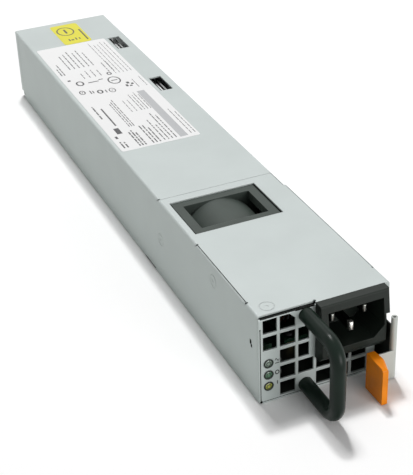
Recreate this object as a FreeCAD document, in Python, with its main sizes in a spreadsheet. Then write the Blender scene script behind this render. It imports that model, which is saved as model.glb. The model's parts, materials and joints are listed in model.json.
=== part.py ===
import FreeCAD, Part
import math
import os
from collections import namedtuple
from types import SimpleNamespace

import Sketcher

# Hot swap server power supply: a long folded sheet metal case with a fan, an AC inlet,
# a fixed pull handle and a sprung release latch on its front panel.
# Millimetres. The origin is the middle of the case's bottom face, +X is to the right of
# someone who faces the front panel, +Y runs from the front panel to the rear and +Z is up.

DRIVING_SIZES = [
    # folded case
    ("body_width", 54.5),
    ("body_height", 40.0),
    ("body_length", 321.5),
    ("sheet", 0.8),
    ("fold_inside", 0.2),
    ("seam", 0.2),
    ("lap_height", 4.6),
    ("rear_setback", 6.5),
    ("cover_gap", 1.3),
    # cover windows, from the front panel's face
    ("slot_left", 16.5),
    ("slot_right", 23.0),
    ("slot_length", 18.0),
    ("slot_one_front", 203.8),
    ("slot_two_front", 267.3),
    ("slit_inset", 0.65),
    ("slit_width", 0.35),
    ("slit_front", 11.3),
    ("left_slit_rear", 57.6),
    ("right_slit_rear", 98.4),
    ("relief_radius", 0.6),
    ("dot_left_y", 99.2),
    ("crease_y", 98.4),
    ("crease_width", 0.3),
    ("press_depth", 0.12),
    ("clinch_radius", 3.0),
    ("clinch_groove", 0.35),
    ("clinch_dimple", 0.7),
    ("clinch_top_x", -20.9),
    ("clinch_top_y", 5.8),
    ("clinch_side_one_y", 41.0),
    ("clinch_side_one_z", 32.5),
    ("clinch_side_two_y", 98.4),
    ("clinch_side_two_z", 20.5),
    ("side_slot_front", 6.2),
    ("side_slot_low", 23.3),
    ("side_slot_length", 0.9),
    ("side_slot_height", 2.6),
    ("flange_rear", 86.0),
    ("flange_low", 27.0),
    ("lock_slot_front", 107.0),
    ("lock_slot_length", 13.0),
    ("cover_screw_radius", 1.25),
    ("cover_screw_head", 2.1),
    ("cover_screw_one", 112.0),
    ("cover_screw_two", 296.0),
    # front panel
    ("panel_top_gap", 1.2),
    ("panel_right", 22.6),
    ("panel_foot", 9.0),
    ("panel_flange", 5.0),
    ("panel_flange_right", -11.3),
    ("corner_slit_low", 1.3),
    ("corner_slit_high", 34.4),
    ("grille_pitch_x", 7.7),
    ("grille_pitch_z", 7.6),
    ("grille_x", -15.2),
    ("grille_z", 4.75),
    ("grille_hole_width", 6.6),
    ("grille_hole_height", 6.2),
    ("grille_side_width", 5.9),
    ("grille_narrow", 1.9),
    ("grille_corner", 2.6),
    # indicator lamps
    ("lamp_x", -23.3),
    ("lamp_z", 18.3),
    ("lamp_pitch", 5.3),
    ("lamp_radius", 1.6),
    ("lamp_play", 0.15),
    ("lamp_board_front", 7.0),
    # AC inlet moulding, its heights measured down from the case's top
    ("bezel_left", -3.6),
    ("bezel_right", 25.65),
    ("bezel_chin", 25.2),
    ("bezel_lip_rise", 3.1),
    ("bezel_brow", 13.0),
    ("bezel_reach_top", 4.1),
    ("bezel_reach", 6.0),
    ("bezel_reach_bottom", 3.4),
    ("bezel_edge", 0.7),
    ("recess_roof", 10.6),
    ("socket_centre", 11.1),
    ("socket_width", 23.7),
    ("socket_roof", 3.4),
    ("socket_height", 16.0),
    ("socket_corner", 4.5),
    ("socket_floor", 10.0),
    ("housing_wall", 1.0),
    ("housing_depth", 22.0),
    # inlet contacts
    ("contact_pitch", 14.0),
    ("contact_width", 2.0),
    ("contact_height", 4.0),
    ("contact_drop", 9.9),
    ("earth_drop", 4.7),
    ("contact_set_in", 0.5),
    ("earth_lead", 2.4),
    ("contact_tail", 4.5),
    # pull handle
    ("handle_x", -7.7),
    ("handle_low", 3.6),
    ("handle_top_gap", 4.1),
    ("handle_reach", 25.0),
    ("handle_radius", 3.0),
    ("handle_bend", 7.5),
    ("handle_screw_radius", 1.25),
    ("handle_screw_depth", 8.0),
    ("handle_screw_head", 2.6),
    ("screw_head_height", 1.4),
    # release latch
    ("latch_sheet", 0.6),
    ("latch_reach", 8.8),
    ("latch_low", 0.8),
    ("latch_step", 13.9),
    ("latch_high", 28.8),
    ("curl_radius", 1.25),
    ("curl_set_out", 0.45),
    ("latch_lug", 18.5),
    ("latch_arm_low", 5.0),
    ("latch_arm_high", 24.5),
    ("latch_tail", 61.0),
    ("latch_play", 0.4),
    ("rivet_radius", 1.25),
    ("rivet_head", 2.4),
    ("rivet_head_height", 0.6),
    ("rivet_y", 55.5),
    ("rivet_z", 14.75),
    ("rivet_pitch", 11.0),
    ("catch_front", 13.5),
    ("catch_length", 10.0),
    ("catch_height", 1.9),
    ("catch_half_width", 4.0),
    ("catch_window_play", 1.2),
    # release tab
    ("tab_left", 13.6),
    ("tab_width", 2.45),
    ("tab_root_width", 4.2),
    ("tab_belly_width", 4.6),
    ("tab_belly", 5.5),
    ("tab_front", 21.1),
    ("tab_low", 0.4),
    ("tab_high", 16.8),
    ("tab_round", 1.5),
    # fan
    ("fan_size", 38.6),
    ("fan_depth", 28.0),
    ("fan_x", -4.05),
    ("fan_front", 65.5),
    ("fan_rim", 4.0),
    ("fan_bore", 17.8),
    ("fan_barrel_wall", 1.2),
    ("fan_window_play", 0.7),
    ("fan_hub_radius", 9.6),
    ("fan_hub_wall", 0.8),
    ("fan_hub_length", 21.5),
    ("fan_inset", 3.0),
    ("blade_count", 7),
    ("blade_tip_gap", 0.5),
    ("blade_chord", 16.0),
    ("blade_stagger", 38.0),
    ("blade_twist", 16.0),
    ("blade_camber", 2.0),
    ("blade_thickness", 0.9),
    ("magnet_wall", 1.2),
    ("stator_gap", 0.5),
    ("stator_length", 9.0),
    ("tube_radius", 3.4),
    ("bearing_radius", 2.6),
    ("bearing_length", 3.0),
    ("shaft_radius", 1.2),
    ("shaft_play", 0.05),
    ("strut_width", 2.2),
    ("strut_depth", 2.6),
    ("strut_count", 4),
    # circuit boards
    ("board_thickness", 1.6),
    ("board_gap", 3.2),
    ("board_margin", 1.6),
    ("board_front", 98.0),
    ("board_rear_gap", 9.0),
    ("edge_width", 38.0),
    ("edge_reach", 9.0),
    ("contact_pad_count", 12),
    ("contact_pad_width", 2.2),
    ("contact_pad_length", 7.5),
    ("contact_pad_thickness", 0.1),
    ("edge_slot_play", 0.8),
    ("film", 0.3),
    ("standoff_radius", 2.4),
    ("board_screw_radius", 1.25),
    ("board_screw_head", 2.3),
    ("board_screw_inset", 3.8),
    ("filter_front", 26.0),
    ("filter_rear", 61.0),
    ("filter_left", -3.5),
    ("filter_right", 22.5),
    # parts on the boards; places along the case are measured from a board's front edge
    ("bulk_can_x", -10.6),
    ("bulk_can_radius", 13.0),
    ("bulk_can_length", 45.0),
    ("bulk_can_front", 10.0),
    ("bulk_can_pitch", 48.0),
    ("output_can_x", -20.0),
    ("output_can_radius", 4.0),
    ("output_can_height", 18.0),
    ("output_can_pitch_x", 8.5),
    ("output_can_pitch_y", 10.0),
    ("output_can_rear", 12.5),
    ("pfc_choke_y", 118.0),
    ("pfc_choke_radius", 13.2),
    ("pfc_choke_bore", 4.8),
    ("pfc_choke_length", 8.4),
    ("line_choke_x", 4.0),
    ("line_choke_y", 13.0),
    ("line_choke_radius", 8.8),
    ("line_choke_bore", 3.2),
    ("line_choke_length", 6.0),
    ("core_left", -23.0),
    ("core_width", 28.0),
    ("core_front", 128.0),
    ("core_length", 32.0),
    ("core_height", 27.0),
    ("core_leg", 5.0),
    ("winding_overhang", 3.0),
    ("fin_count", 4),
    ("fin_pitch", 2.2),
    ("fin_thickness", 0.9),
    ("fin_web", 2.0),
    ("fin_cover_gap", 3.0),
    ("fin_slot_inset", 1.0),
    ("primary_sink_lead", 16.0),
    ("primary_sink_trail", 14.0),
    ("secondary_sink_lead", 12.0),
    ("secondary_sink_trail", 10.0),
    ("package_thickness", 4.6),
    ("package_width", 10.0),
    ("package_height", 16.0),
    ("package_pitch", 13.5),
    ("bridge_x", 8.0),
    ("bridge_front", 10.0),
    ("bridge_length", 20.0),
    ("bridge_height", 17.0),
    ("relay_x", 7.0),
    ("relay_front", 38.0),
    ("relay_width", 15.0),
    ("relay_length", 19.0),
    ("relay_height", 15.0),
    ("fuse_x", 19.2),
    ("fuse_front", 2.5),
    ("fuse_length", 20.0),
    ("fuse_radius", 2.6),
    ("filter_capacitor_x", 0.0),
    ("filter_capacitor_front", 25.5),
    ("filter_capacitor_height", 14.0),
    ("main_capacitor_front", 62.0),
    ("main_capacitor_height", 17.0),
    ("film_capacitor_width", 15.0),
    ("film_capacitor_thickness", 8.0),
    ("card_x", 8.0),
    ("card_front", 128.0),
    ("card_length", 32.0),
    ("card_height", 24.0),
    ("bus_bar_x", -16.0),
    ("bus_bar_pitch", 18.0),
    ("bus_bar_width", 14.0),
    ("bus_bar_height", 6.0),
    ("bus_bar_length", 5.2),
    ("bus_bar_rear_gap", 1.8),
    # rear panel
    ("vent_size", 5.2),
    ("vent_pitch", 6.6),
    ("vent_low", 15.0),
    ("vent_columns", 7),
    ("vent_rows", 4),
    # stuck-on labels
    ("label_thickness", 0.12),
    ("label_left", -25.0),
    ("label_right", 14.5),
    ("label_front", 148.5),
    ("label_rear", 286.0),
    ("sticker_half_width", 8.0),
    ("sticker_front", 286.4),
    ("sticker_length", 30.6),
    ("sticker_corner", 2.0),
]

OVERCUT = 1.0  # how far a cutting tool passes the face that it leaves through

DOC = FreeCAD.newDocument("server_power_supply")
SHEET = DOC.addObject("Spreadsheet::Sheet", "sizes")
NODES = []

Disc = namedtuple("Disc", "u v radius")


class Size:
    """A number together with the sheet expression that gives it."""

    def __init__(self, value, text):
        self.value = value
        self.text = text

    @staticmethod
    def of(number):
        if isinstance(number, Size):
            return number
        return Size(float(number), f"({float(number)!r})")

    def __add__(self, other):
        other = Size.of(other)
        return Size(self.value + other.value, f"({self.text} + {other.text})")

    def __sub__(self, other):
        other = Size.of(other)
        return Size(self.value - other.value, f"({self.text} - {other.text})")

    def __mul__(self, other):
        other = Size.of(other)
        return Size(self.value * other.value, f"({self.text} * {other.text})")

    def __truediv__(self, other):
        other = Size.of(other)
        return Size(self.value / other.value, f"({self.text} / {other.text})")

    def __radd__(self, other):
        return Size.of(other) + self

    def __rsub__(self, other):
        return Size.of(other) - self

    def __rmul__(self, other):
        return Size.of(other) * self

    def __neg__(self):
        return Size.of(0) - self


def fill_sheet():
    """Write the driving sizes into the sheet and return them by name."""
    named = {}
    for row, (alias, number) in enumerate(DRIVING_SIZES, start=1):
        SHEET.set(f"A{row}", alias)
        SHEET.set(f"B{row}", str(number))
        SHEET.setAlias(f"B{row}", alias)
        named[alias] = Size(float(number), f"sizes.{alias}")
    DOC.recompute()
    return SimpleNamespace(**named)


# ---------------------------------------------------------------- drawing helpers


def bind(feature, **sizes):
    """Tie properties of a feature to the sheet."""
    for name, size in sizes.items():
        size = Size.of(size)
        setattr(feature, name, size.value)
        feature.setExpression(name, size.text)


def move_to(feature, x, y, z):
    """Tie the base of a feature's placement to the sheet."""
    place = [Size.of(number) for number in (x, y, z)]
    feature.Placement.Base = FreeCAD.Vector(*[size.value for size in place])
    for letter, size in zip("xyz", place):
        feature.setExpression(f".Placement.Base.{letter}", size.text)


def keep(feature, label):
    """Name a finished sub-part."""
    feature.Label = label
    NODES.append(feature)
    return feature


def fix_point(sketch, line, end, u, v):
    """Hold a point of a sketch at u, v by dimensions from the sketch's origin."""
    for kind, size, axis in (("DistanceX", Size.of(u), -2), ("DistanceY", Size.of(v), -1)):
        if size.value == 0.0:
            sketch.addConstraint(Sketcher.Constraint("PointOnObject", line, end, axis))
            continue
        index = sketch.addConstraint(Sketcher.Constraint(kind, -1, 1, line, end, size.value))
        sketch.setExpression(f"Constraints[{index}]", size.text)


def draw_circle(sketch, disc):
    """Draw a circle with its centre and radius held."""
    centre = FreeCAD.Vector(Size.of(disc.u).value, Size.of(disc.v).value, 0)
    radius = Size.of(disc.radius)
    circle = sketch.addGeometry(Part.Circle(centre, FreeCAD.Vector(0, 0, 1), radius.value))
    fix_point(sketch, circle, 3, disc.u, disc.v)
    index = sketch.addConstraint(Sketcher.Constraint("Radius", circle, radius.value))
    sketch.setExpression(f"Constraints[{index}]", radius.text)


def draw_polygon(sketch, corners):
    """Draw a closed outline through the corners, each held at its place."""
    points = [FreeCAD.Vector(Size.of(u).value, Size.of(v).value, 0) for u, v in corners]
    first = sketch.GeometryCount
    for start, end in zip(points, points[1:] + points[:1]):
        sketch.addGeometry(Part.LineSegment(start, end))
    for step, (u, v) in enumerate(corners):
        following = first + (step + 1) % len(corners)
        sketch.addConstraint(Sketcher.Constraint("Coincident", first + step, 2, following, 1))
        fix_point(sketch, first + step, 1, u, v)


def sketch_at(body, axis, level):
    """A sketch in the plane where that axis is at that level: X holds (y, z), Y (x, z), Z (x, y)."""
    role = {"X": "YZ_Plane", "Y": "XZ_Plane", "Z": "XY_Plane"}[axis]
    plane = next(part for part in body.Origin.OriginFeatures if part.Role == role)
    sketch = body.newObject("Sketcher::SketchObject", f"{body.Name}_{axis}_outline")
    sketch.AttachmentSupport = [(plane, "")]
    sketch.MapMode = "FlatFace"
    offset = -Size.of(level) if axis == "Y" else Size.of(level)
    sketch.AttachmentOffset = FreeCAD.Placement(
        FreeCAD.Vector(0, 0, offset.value), FreeCAD.Rotation()
    )
    sketch.setExpression(".AttachmentOffset.Base.z", offset.text)
    return sketch


def draw(body, axis, level, outlines):
    """A sketch at that level with all the outlines in it."""
    sketch = sketch_at(body, axis, level)
    for outline in outlines:
        if isinstance(outline, Disc):
            draw_circle(sketch, outline)
        else:
            draw_polygon(sketch, outline)
    return sketch


def new_body(label):
    """An empty PartDesign body with its label."""
    body = DOC.addObject("PartDesign::Body", label)
    return keep(body, label)


def add(body, axis, low, high, *outlines):
    """Pad outlines from one level to a higher one along an axis."""
    pad = body.newObject("PartDesign::Pad", f"{body.Name}_pad")
    pad.Profile = draw(body, axis, low, outlines)
    pad.Reversed = axis == "Y"
    bind(pad, Length=Size.of(high) - low)
    return pad


def cut(body, axis, low, high, *outlines):
    """Pocket outlines from one level to a higher one along an axis."""
    pocket = body.newObject("PartDesign::Pocket", f"{body.Name}_pocket")
    pocket.Profile = draw(body, axis, low, outlines)
    pocket.Reversed = axis != "Y"
    bind(pocket, Length=Size.of(high) - low)
    return pocket


def rectangle(u_low, u_high, v_low, v_high):
    """The corners of a rectangle."""
    return [(u_low, v_low), (u_high, v_low), (u_high, v_high), (u_low, v_high)]


def square(u, v, width, height):
    """The corners of a rectangle about its centre."""
    return rectangle(u - width / 2, u + width / 2, v - height / 2, v + height / 2)


def runs(edge, axis, **where):
    """Whether a straight edge runs along an axis and its middle is where it is said to be."""
    if edge.Curve.TypeId != "Part::GeomLine":
        return False
    direction = edge.Curve.Direction
    if abs(abs(getattr(direction, axis)) - 1.0) > 1e-6:
        return False
    middle = edge.valueAt((edge.FirstParameter + edge.LastParameter) / 2)
    near = 1e-3
    return all(abs(getattr(middle, name) - Size.of(at).value) < near for name, at in where.items())


def round_edges(body, radius, test):
    """Fillet the edges of the body so far that pass the test."""
    DOC.recompute()
    base = body.Tip
    names = [f"Edge{n}" for n, edge in enumerate(base.Shape.Edges, start=1) if test(edge)]
    if not names:
        raise ValueError(f"no edge to round on {body.Label}")
    fillet = body.newObject("PartDesign::Fillet", f"{body.Name}_round")
    fillet.Base = (base, names)
    bind(fillet, Radius=radius)


def block(name, x, y, z):
    """A box between two x, two y and two z levels."""
    spans = [(Size.of(low), Size.of(high)) for low, high in (x, y, z)]
    box = DOC.addObject("Part::Box", name)
    lengths = [high - low for low, high in spans]
    bind(box, Length=lengths[0], Width=lengths[1], Height=lengths[2])
    move_to(box, *[low for low, high in spans])
    return box


def rod(name, axis, across, along, radius):
    """A cylinder along an axis; across holds its place on the other two axes, in order."""
    turn = {
        "X": FreeCAD.Rotation(FreeCAD.Vector(0, 1, 0), 90),
        "Y": FreeCAD.Rotation(FreeCAD.Vector(1, 0, 0), -90),
        "Z": FreeCAD.Rotation(),
    }[axis]
    cylinder = DOC.addObject("Part::Cylinder", name)
    cylinder.Placement = FreeCAD.Placement(FreeCAD.Vector(), turn)
    low, high = Size.of(along[0]), Size.of(along[1])
    bind(cylinder, Radius=radius, Height=high - low)
    place = list(across)
    place.insert("XYZ".index(axis), low)
    move_to(cylinder, *place)
    return cylinder


def fuse(name, *pieces):
    """One solid from pieces that meet."""
    joined = DOC.addObject("Part::MultiFuse", name)
    joined.Shapes = list(pieces)
    joined.Refine = True
    return joined


def carve(name, base, *tools):
    """A piece with others cut out of it."""
    tool = tools[0] if len(tools) == 1 else fuse(f"{name}_tools", *tools)
    result = DOC.addObject("Part::Cut", name)
    result.Base = base
    result.Tool = tool
    return result


def group(label, pieces):
    """Separate solids that share a node."""
    compound = DOC.addObject("Part::Compound", label)
    compound.Links = list(pieces)
    return keep(compound, label)


# ---------------------------------------------------------------- shared levels

s = fill_sheet()

half = s.body_width / 2
wall = half - s.sheet  # inner face of a side wall
lap = wall - s.seam  # outer face of what is folded inside a side wall
top = s.body_height - s.sheet  # inner face of the cover
front = -s.body_length / 2
rear = s.body_length / 2
fold_outside = s.fold_inside + s.sheet
flange_out = half + s.sheet  # outer face of the cover's front flange

fan_left = s.fan_x - s.fan_size / 2
fan_right = s.fan_x + s.fan_size / 2
fan_low = s.sheet
fan_high = s.sheet + s.fan_size
fan_z = s.sheet + s.fan_size / 2
fan_start = front + s.fan_front
fan_end = fan_start + s.fan_depth

board_low = s.sheet + s.board_gap
board_high = board_low + s.board_thickness
board_half = lap - s.sheet - s.board_margin / 2
board_start = front + s.board_front
board_end = rear - s.board_rear_gap

panel_top = s.body_height - s.panel_top_gap
handle_high = s.body_height - s.handle_top_gap

socket_high = s.body_height - s.socket_roof
socket_low = socket_high - s.socket_height
housing_left = s.socket_centre - s.socket_width / 2 - s.housing_wall
housing_right = s.socket_centre + s.socket_width / 2 + s.housing_wall - s.seam
housing_low = socket_low - s.housing_wall
housing_high = top - s.seam

arm_out = wall - s.latch_play
arm_in = arm_out - s.latch_sheet
plate_front = front - s.latch_reach
curl_x = arm_in + s.latch_sheet / 2 + s.curl_set_out
curl_y = plate_front + s.curl_radius
lug_left = s.tab_left + (s.tab_width - s.latch_sheet) / 2


# ---------------------------------------------------------------- case


def make_chassis():
    """Floor with a short lap folded up inside each wall of the cover."""
    body = new_body("chassis")
    lap_in = lap - s.sheet
    add(body, "Y", front, rear, [
        (-lap, 0), (lap, 0), (lap, s.lap_height), (lap_in, s.lap_height),
        (lap_in, s.sheet), (-lap_in, s.sheet), (-lap_in, s.lap_height), (-lap, s.lap_height),
    ])
    round_edges(body, fold_outside, lambda e: runs(e, "y", x=lap, z=0) or runs(e, "y", x=-lap, z=0))
    round_edges(body, s.fold_inside, lambda e: (
        runs(e, "y", x=lap_in, z=s.sheet) or runs(e, "y", x=-lap_in, z=s.sheet)))
    screws = [Disc(y, cover_screw_z(), s.cover_screw_radius) for y in cover_screw_places()]
    cut(body, "X", lap_in - OVERCUT, lap + OVERCUT, *screws)
    panel_back = front + s.sheet + s.seam
    cut(body, "X", -lap - OVERCUT, lap + OVERCUT,
        rectangle(rear - s.rear_setback, rear + OVERCUT, fold_outside, s.lap_height + OVERCUT),
        rectangle(front - OVERCUT, panel_back, s.sheet, s.lap_height + OVERCUT))


def make_top_cover():
    """Top and both walls in one folded sheet, doubled by a flange at its front right."""
    body = new_body("top_cover")
    high = s.body_height
    add(body, "Y", front, rear, [
        (-half, s.seam), (-wall, s.seam), (-wall, top), (wall, top),
        (wall, s.seam), (half, s.seam), (half, high), (-half, high),
    ])
    round_edges(body, fold_outside, lambda e: runs(e, "y", x=-half, z=high) or runs(e, "y", x=half, z=high))
    round_edges(body, s.fold_inside, lambda e: runs(e, "y", x=-wall, z=top) or runs(e, "y", x=wall, z=top))
    add(body, "Y", front, front + s.flange_rear, [
        (half - fold_outside, top), (half - s.sheet / 2, top), (half - s.sheet / 2, s.flange_low),
        (flange_out, s.flange_low), (flange_out, high), (half - fold_outside, high),
    ])
    round_edges(body, fold_outside, lambda e: runs(e, "y", x=flange_out, z=high))
    bezel_edge = s.bezel_left + s.seam
    gap_end = front + s.cover_gap
    cut(
        body, "Z", top - OVERCUT / 2, high + OVERCUT,
        rectangle(-half - OVERCUT, bezel_edge, front - OVERCUT, gap_end),
        rectangle(
            fan_left - s.fan_window_play, fan_right + s.fan_window_play,
            fan_start - s.fan_window_play / 2, fan_end + s.fan_window_play / 2,
        ),
        rectangle(s.slot_left, s.slot_right, slot_start(1), slot_start(1) + s.slot_length),
        rectangle(s.slot_left, s.slot_right, slot_start(2), slot_start(2) + s.slot_length),
    )
    cut(body, "Z", top - OVERCUT / 2, high + OVERCUT, Disc(bezel_edge, gap_end, s.relief_radius))
    left_x = s.slit_inset - half
    flange_x = flange_out - s.slit_inset
    right_x = half - s.slit_inset
    for x, start, end in (
            (left_x, s.slit_front, s.left_slit_rear),
            (flange_x, s.slit_front, s.flange_rear),
            (right_x, s.flange_rear, s.right_slit_rear)):
        cut(body, "Z", top - OVERCUT / 2, high + OVERCUT, rectangle(
            x - s.slit_width / 2, x + s.slit_width / 2, front + start, front + end))
    for x, y in ((left_x, s.slit_front), (left_x, s.left_slit_rear), (left_x, s.dot_left_y),
                 (flange_x, s.slit_front), (right_x, s.right_slit_rear)):
        cut(body, "Z", top - OVERCUT / 2, high + OVERCUT, Disc(x, front + y, s.relief_radius))
    cut_left_wall(body)
    cut_right_wall(body)
    cut(body, "Z", high - s.press_depth, high + OVERCUT, rectangle(
        s.slit_inset - half, half - s.slit_inset, front + s.crease_y, front + s.crease_y + s.crease_width))
    cut(body, "Z", high - s.press_depth, high + OVERCUT, *clinch(s.clinch_top_x, front + s.clinch_top_y))


def cut_left_wall(body):
    """Openings of the cover's left wall: front edge, rear step, slots and clinch marks."""
    cut(
        body, "X", -half - OVERCUT, OVERCUT / 2 - wall,
        rectangle(front - OVERCUT, front + s.sheet + s.seam, -OVERCUT, panel_top + s.seam),
        rectangle(rear - s.rear_setback, rear + OVERCUT, -OVERCUT, s.body_height - fold_outside),
        rectangle(front + s.side_slot_front, front + s.side_slot_front + s.side_slot_length,
                  s.side_slot_low, s.side_slot_low + s.side_slot_height),
        rectangle(front + s.lock_slot_front, front + s.lock_slot_front + s.lock_slot_length,
                  -OVERCUT, fold_outside),
    )
    for y, z in ((s.clinch_side_one_y, s.clinch_side_one_z), (s.clinch_side_two_y, s.clinch_side_two_z)):
        cut(body, "X", -half - OVERCUT, s.press_depth - half, *clinch(front + y, z))


def cut_right_wall(body):
    """Openings of the cover's right wall: rear step, catch window, rivet and screw holes."""
    catch_y = front + s.catch_front
    play = s.catch_window_play
    catch_window = rectangle(
        catch_y - play, catch_y + s.catch_length + play,
        s.rivet_z - s.catch_half_width - play, s.rivet_z + s.catch_half_width + play)
    rear_step = rectangle(rear - s.rear_setback, rear + OVERCUT, -OVERCUT, s.body_height - fold_outside)
    rivets = [Disc(front + s.rivet_y, z, s.rivet_radius) for z in rivet_levels()]
    screws = [Disc(y, cover_screw_z(), s.cover_screw_radius) for y in cover_screw_places()]
    cut(body, "X", wall - OVERCUT / 2, half + OVERCUT, catch_window, rear_step, *rivets, *screws)


def clinch(u, v):
    """Outlines of a pressed joining mark: a ring groove with a dimple in its middle."""
    return [Disc(u, v, s.clinch_radius), Disc(u, v, s.clinch_radius - s.clinch_groove),
            Disc(u, v, s.clinch_dimple)]


def slot_start(number):
    """Front end of a cover slot."""
    return front + (s.slot_one_front if number == 1 else s.slot_two_front)


def cover_screw_places():
    """Where the cover screws sit along the case."""
    return [front + s.cover_screw_one, front + s.cover_screw_two]


def cover_screw_z():
    """Height of the cover screws, in the middle of the floor's lap."""
    return s.sheet / 2 + s.lap_height / 2


def make_cover_screws():
    """Low-headed screws through the right wall into the floor's lap."""
    screws = []
    for number, y in enumerate(cover_screw_places()):
        across = (y, cover_screw_z())
        shank = rod(f"cover_screw_shank{number}", "X", across, (lap - s.sheet * 2, half), s.cover_screw_radius)
        head = rod(f"cover_screw_head{number}", "X", across, (half, half + s.sheet), s.cover_screw_head)
        screws.append(fuse(f"cover_screw{number}", shank, head))
    group("cover_screws", screws)


def make_front_panel():
    """Pressed panel with a foot and a top flange, square air holes and lamp holes."""
    body = new_body("front_panel")
    foot_high = s.sheet * 2
    left = -half
    add(body, "Y", front, front + s.sheet, [
        (left, s.sheet), (s.panel_right, s.sheet), (s.panel_right, housing_low),
        (housing_left, housing_low), (housing_left, panel_top), (left, panel_top),
    ])
    foot_left = s.sheet - lap + s.fold_inside + s.seam
    add(body, "Z", s.sheet, foot_high, rectangle(foot_left, s.panel_right, front, front + s.panel_foot))
    add(body, "Z", panel_top - s.sheet, panel_top,
        rectangle(s.seam - wall, s.panel_flange_right, front, front + s.panel_flange))
    round_edges(body, s.sheet / 2, lambda e: (
        runs(e, "x", y=front, z=s.sheet) or runs(e, "x", y=front, z=panel_top)
        or runs(e, "z", x=left, y=front)))
    slit_x = left + s.slit_inset
    cut(body, "Y", front - OVERCUT, front + s.sheet + OVERCUT, rectangle(
        slit_x - s.slit_width / 2, slit_x + s.slit_width / 2, s.corner_slit_low, s.corner_slit_high))
    cut(body, "Y", front - OVERCUT, front + s.sheet + OVERCUT, Disc(slit_x, s.corner_slit_high, s.slit_width))
    screw_space = s.handle_screw_head + s.seam
    cut(body, "Z", s.sheet / 2, foot_high + OVERCUT, rectangle(
        s.handle_x - screw_space, s.handle_x + screw_space,
        front + s.sheet, front + s.sheet + s.screw_head_height + s.seam))
    cut(body, "Y", front - OVERCUT, front + s.sheet + OVERCUT, *grille_holes())
    lamps = [Disc(s.lamp_x, z, s.lamp_radius + s.lamp_play) for z in lamp_levels()]
    screws = [Disc(s.handle_x, z, s.handle_screw_radius) for z in (s.handle_low, handle_high)]
    cut(body, "Y", front - OVERCUT, front + s.sheet + OVERCUT, *lamps, *screws)


def grille_holes():
    """The air holes: columns from the left and rows from the bottom, less the blank places."""
    holes = []
    column_rows = {0: (1, 2, 3, 4, 5), 1: (2, 3, 4), 2: (1, 2), 3: (1, 2), 4: (1, 2)}
    for column, rows in column_rows.items():
        for row in rows:
            x = s.grille_x + s.grille_pitch_x * column
            z = s.grille_z + s.grille_pitch_z * (row - 1)
            width = s.grille_hole_width
            if column == 1 and row > 2:
                width = s.grille_hole_width - s.grille_narrow
                x = x - s.grille_narrow / 2
            hole = square(x, z, width, s.grille_hole_height)
            if column == 0 and row == 5:
                corner = hole[2]
                hole[2:3] = [(corner[0], corner[1] - s.grille_corner), (corner[0] - s.grille_corner, corner[1])]
            holes.append(hole)
    side_x = s.grille_x - s.grille_pitch_x + (s.grille_hole_width - s.grille_side_width) / 2
    for row in (4, 5):
        z = s.grille_z + s.grille_pitch_z * (row - 1)
        holes.append(square(side_x, z, s.grille_side_width, s.grille_hole_height))
    return holes


def lamp_levels():
    """Heights of the three indicator lamps."""
    return [s.lamp_z - s.lamp_pitch * step for step in range(3)]


def make_rear_panel():
    """Rear wall with side flanges, a vent grid and the slot for the board's edge."""
    body = new_body("rear_panel")
    flange_low = s.lap_height + s.sheet
    flange_high = top - s.lap_height
    flange_start = rear - s.rear_setback * 2
    add(body, "Y", rear - s.sheet, rear, rectangle(-lap, lap, fold_outside, s.body_height - fold_outside))
    add(body, "X", -lap, s.sheet - lap, rear_flange(flange_start, flange_low, flange_high))
    add(body, "X", lap - s.sheet, lap, rear_flange(flange_start, flange_low, flange_high))
    vents = []
    columns = int(s.vent_columns.value)
    for column in range(columns):
        for row in range(int(s.vent_rows.value)):
            vents.append(square(
                s.vent_pitch * (column - (columns - 1) / 2), s.vent_low + s.vent_pitch * row,
                s.vent_size, s.vent_size))
    play = s.edge_slot_play
    vents.append(rectangle(
        -s.edge_width / 2 - play, s.edge_width / 2 + play, board_low - play, board_high + play))
    cut(body, "Y", rear - s.sheet - OVERCUT, rear + OVERCUT, *vents)


def rear_flange(start, low, high):
    """Outline of a side flange of the rear panel, its lower front corner cut off."""
    corner = s.lap_height
    return [(start + corner, low), (rear, low), (rear, high), (start, high), (start, low + corner)]


# ---------------------------------------------------------------- AC inlet


def make_inlet_bezel():
    """Moulding round the AC inlet: a sloped shroud in front of the panel, a socket behind it."""
    body = new_body("inlet_bezel")
    chin = s.body_height - s.bezel_chin
    lip = chin + s.bezel_lip_rise
    add(body, "X", s.bezel_left, s.bezel_right, [
        (front, chin), (front - s.bezel_reach_bottom, chin), (front - s.bezel_reach, lip),
        (front - s.bezel_reach, s.body_height - s.bezel_brow),
        (front - s.bezel_reach_top, s.body_height), (front, s.body_height),
    ])
    recess_top = s.body_height - s.recess_roof
    cut(body, "X", housing_right, s.bezel_right + OVERCUT, rectangle(
        front - s.bezel_reach - OVERCUT, front + OVERCUT, -OVERCUT, recess_top))
    round_edges(body, s.bezel_edge, lambda e: (
        e.BoundBox.YMax < front.value - 0.01 and e.BoundBox.ZMin > lip.value + 0.01
        and e.BoundBox.XMax > s.bezel_right.value - 0.01))
    add(body, "Y", front, front + s.housing_depth, rectangle(
        housing_left, housing_right, housing_low, housing_high))
    left = s.socket_centre - s.socket_width / 2
    right = s.socket_centre + s.socket_width / 2
    cut(body, "Y", front - s.bezel_reach - OVERCUT, front + s.socket_floor, [
        (left + s.socket_corner, socket_low), (right - s.socket_corner, socket_low),
        (right, socket_low + s.socket_corner), (right, socket_high),
        (left, socket_high), (left, socket_low + s.socket_corner),
    ])
    slots = [square(x, z, s.contact_width, s.contact_height) for x, z, lead in contact_places()]
    cut(body, "Y", front + s.socket_floor - OVERCUT, front + s.housing_depth + OVERCUT, *slots)


def contact_places():
    """Each contact's x, z and how far its tip leads the line and neutral tips."""
    z = s.body_height - s.contact_drop
    return [
        (s.socket_centre - s.contact_pitch / 2, z, 0),
        (s.socket_centre + s.contact_pitch / 2, z, 0),
        (s.socket_centre + 0, z - s.earth_drop, s.earth_lead),
    ]


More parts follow.
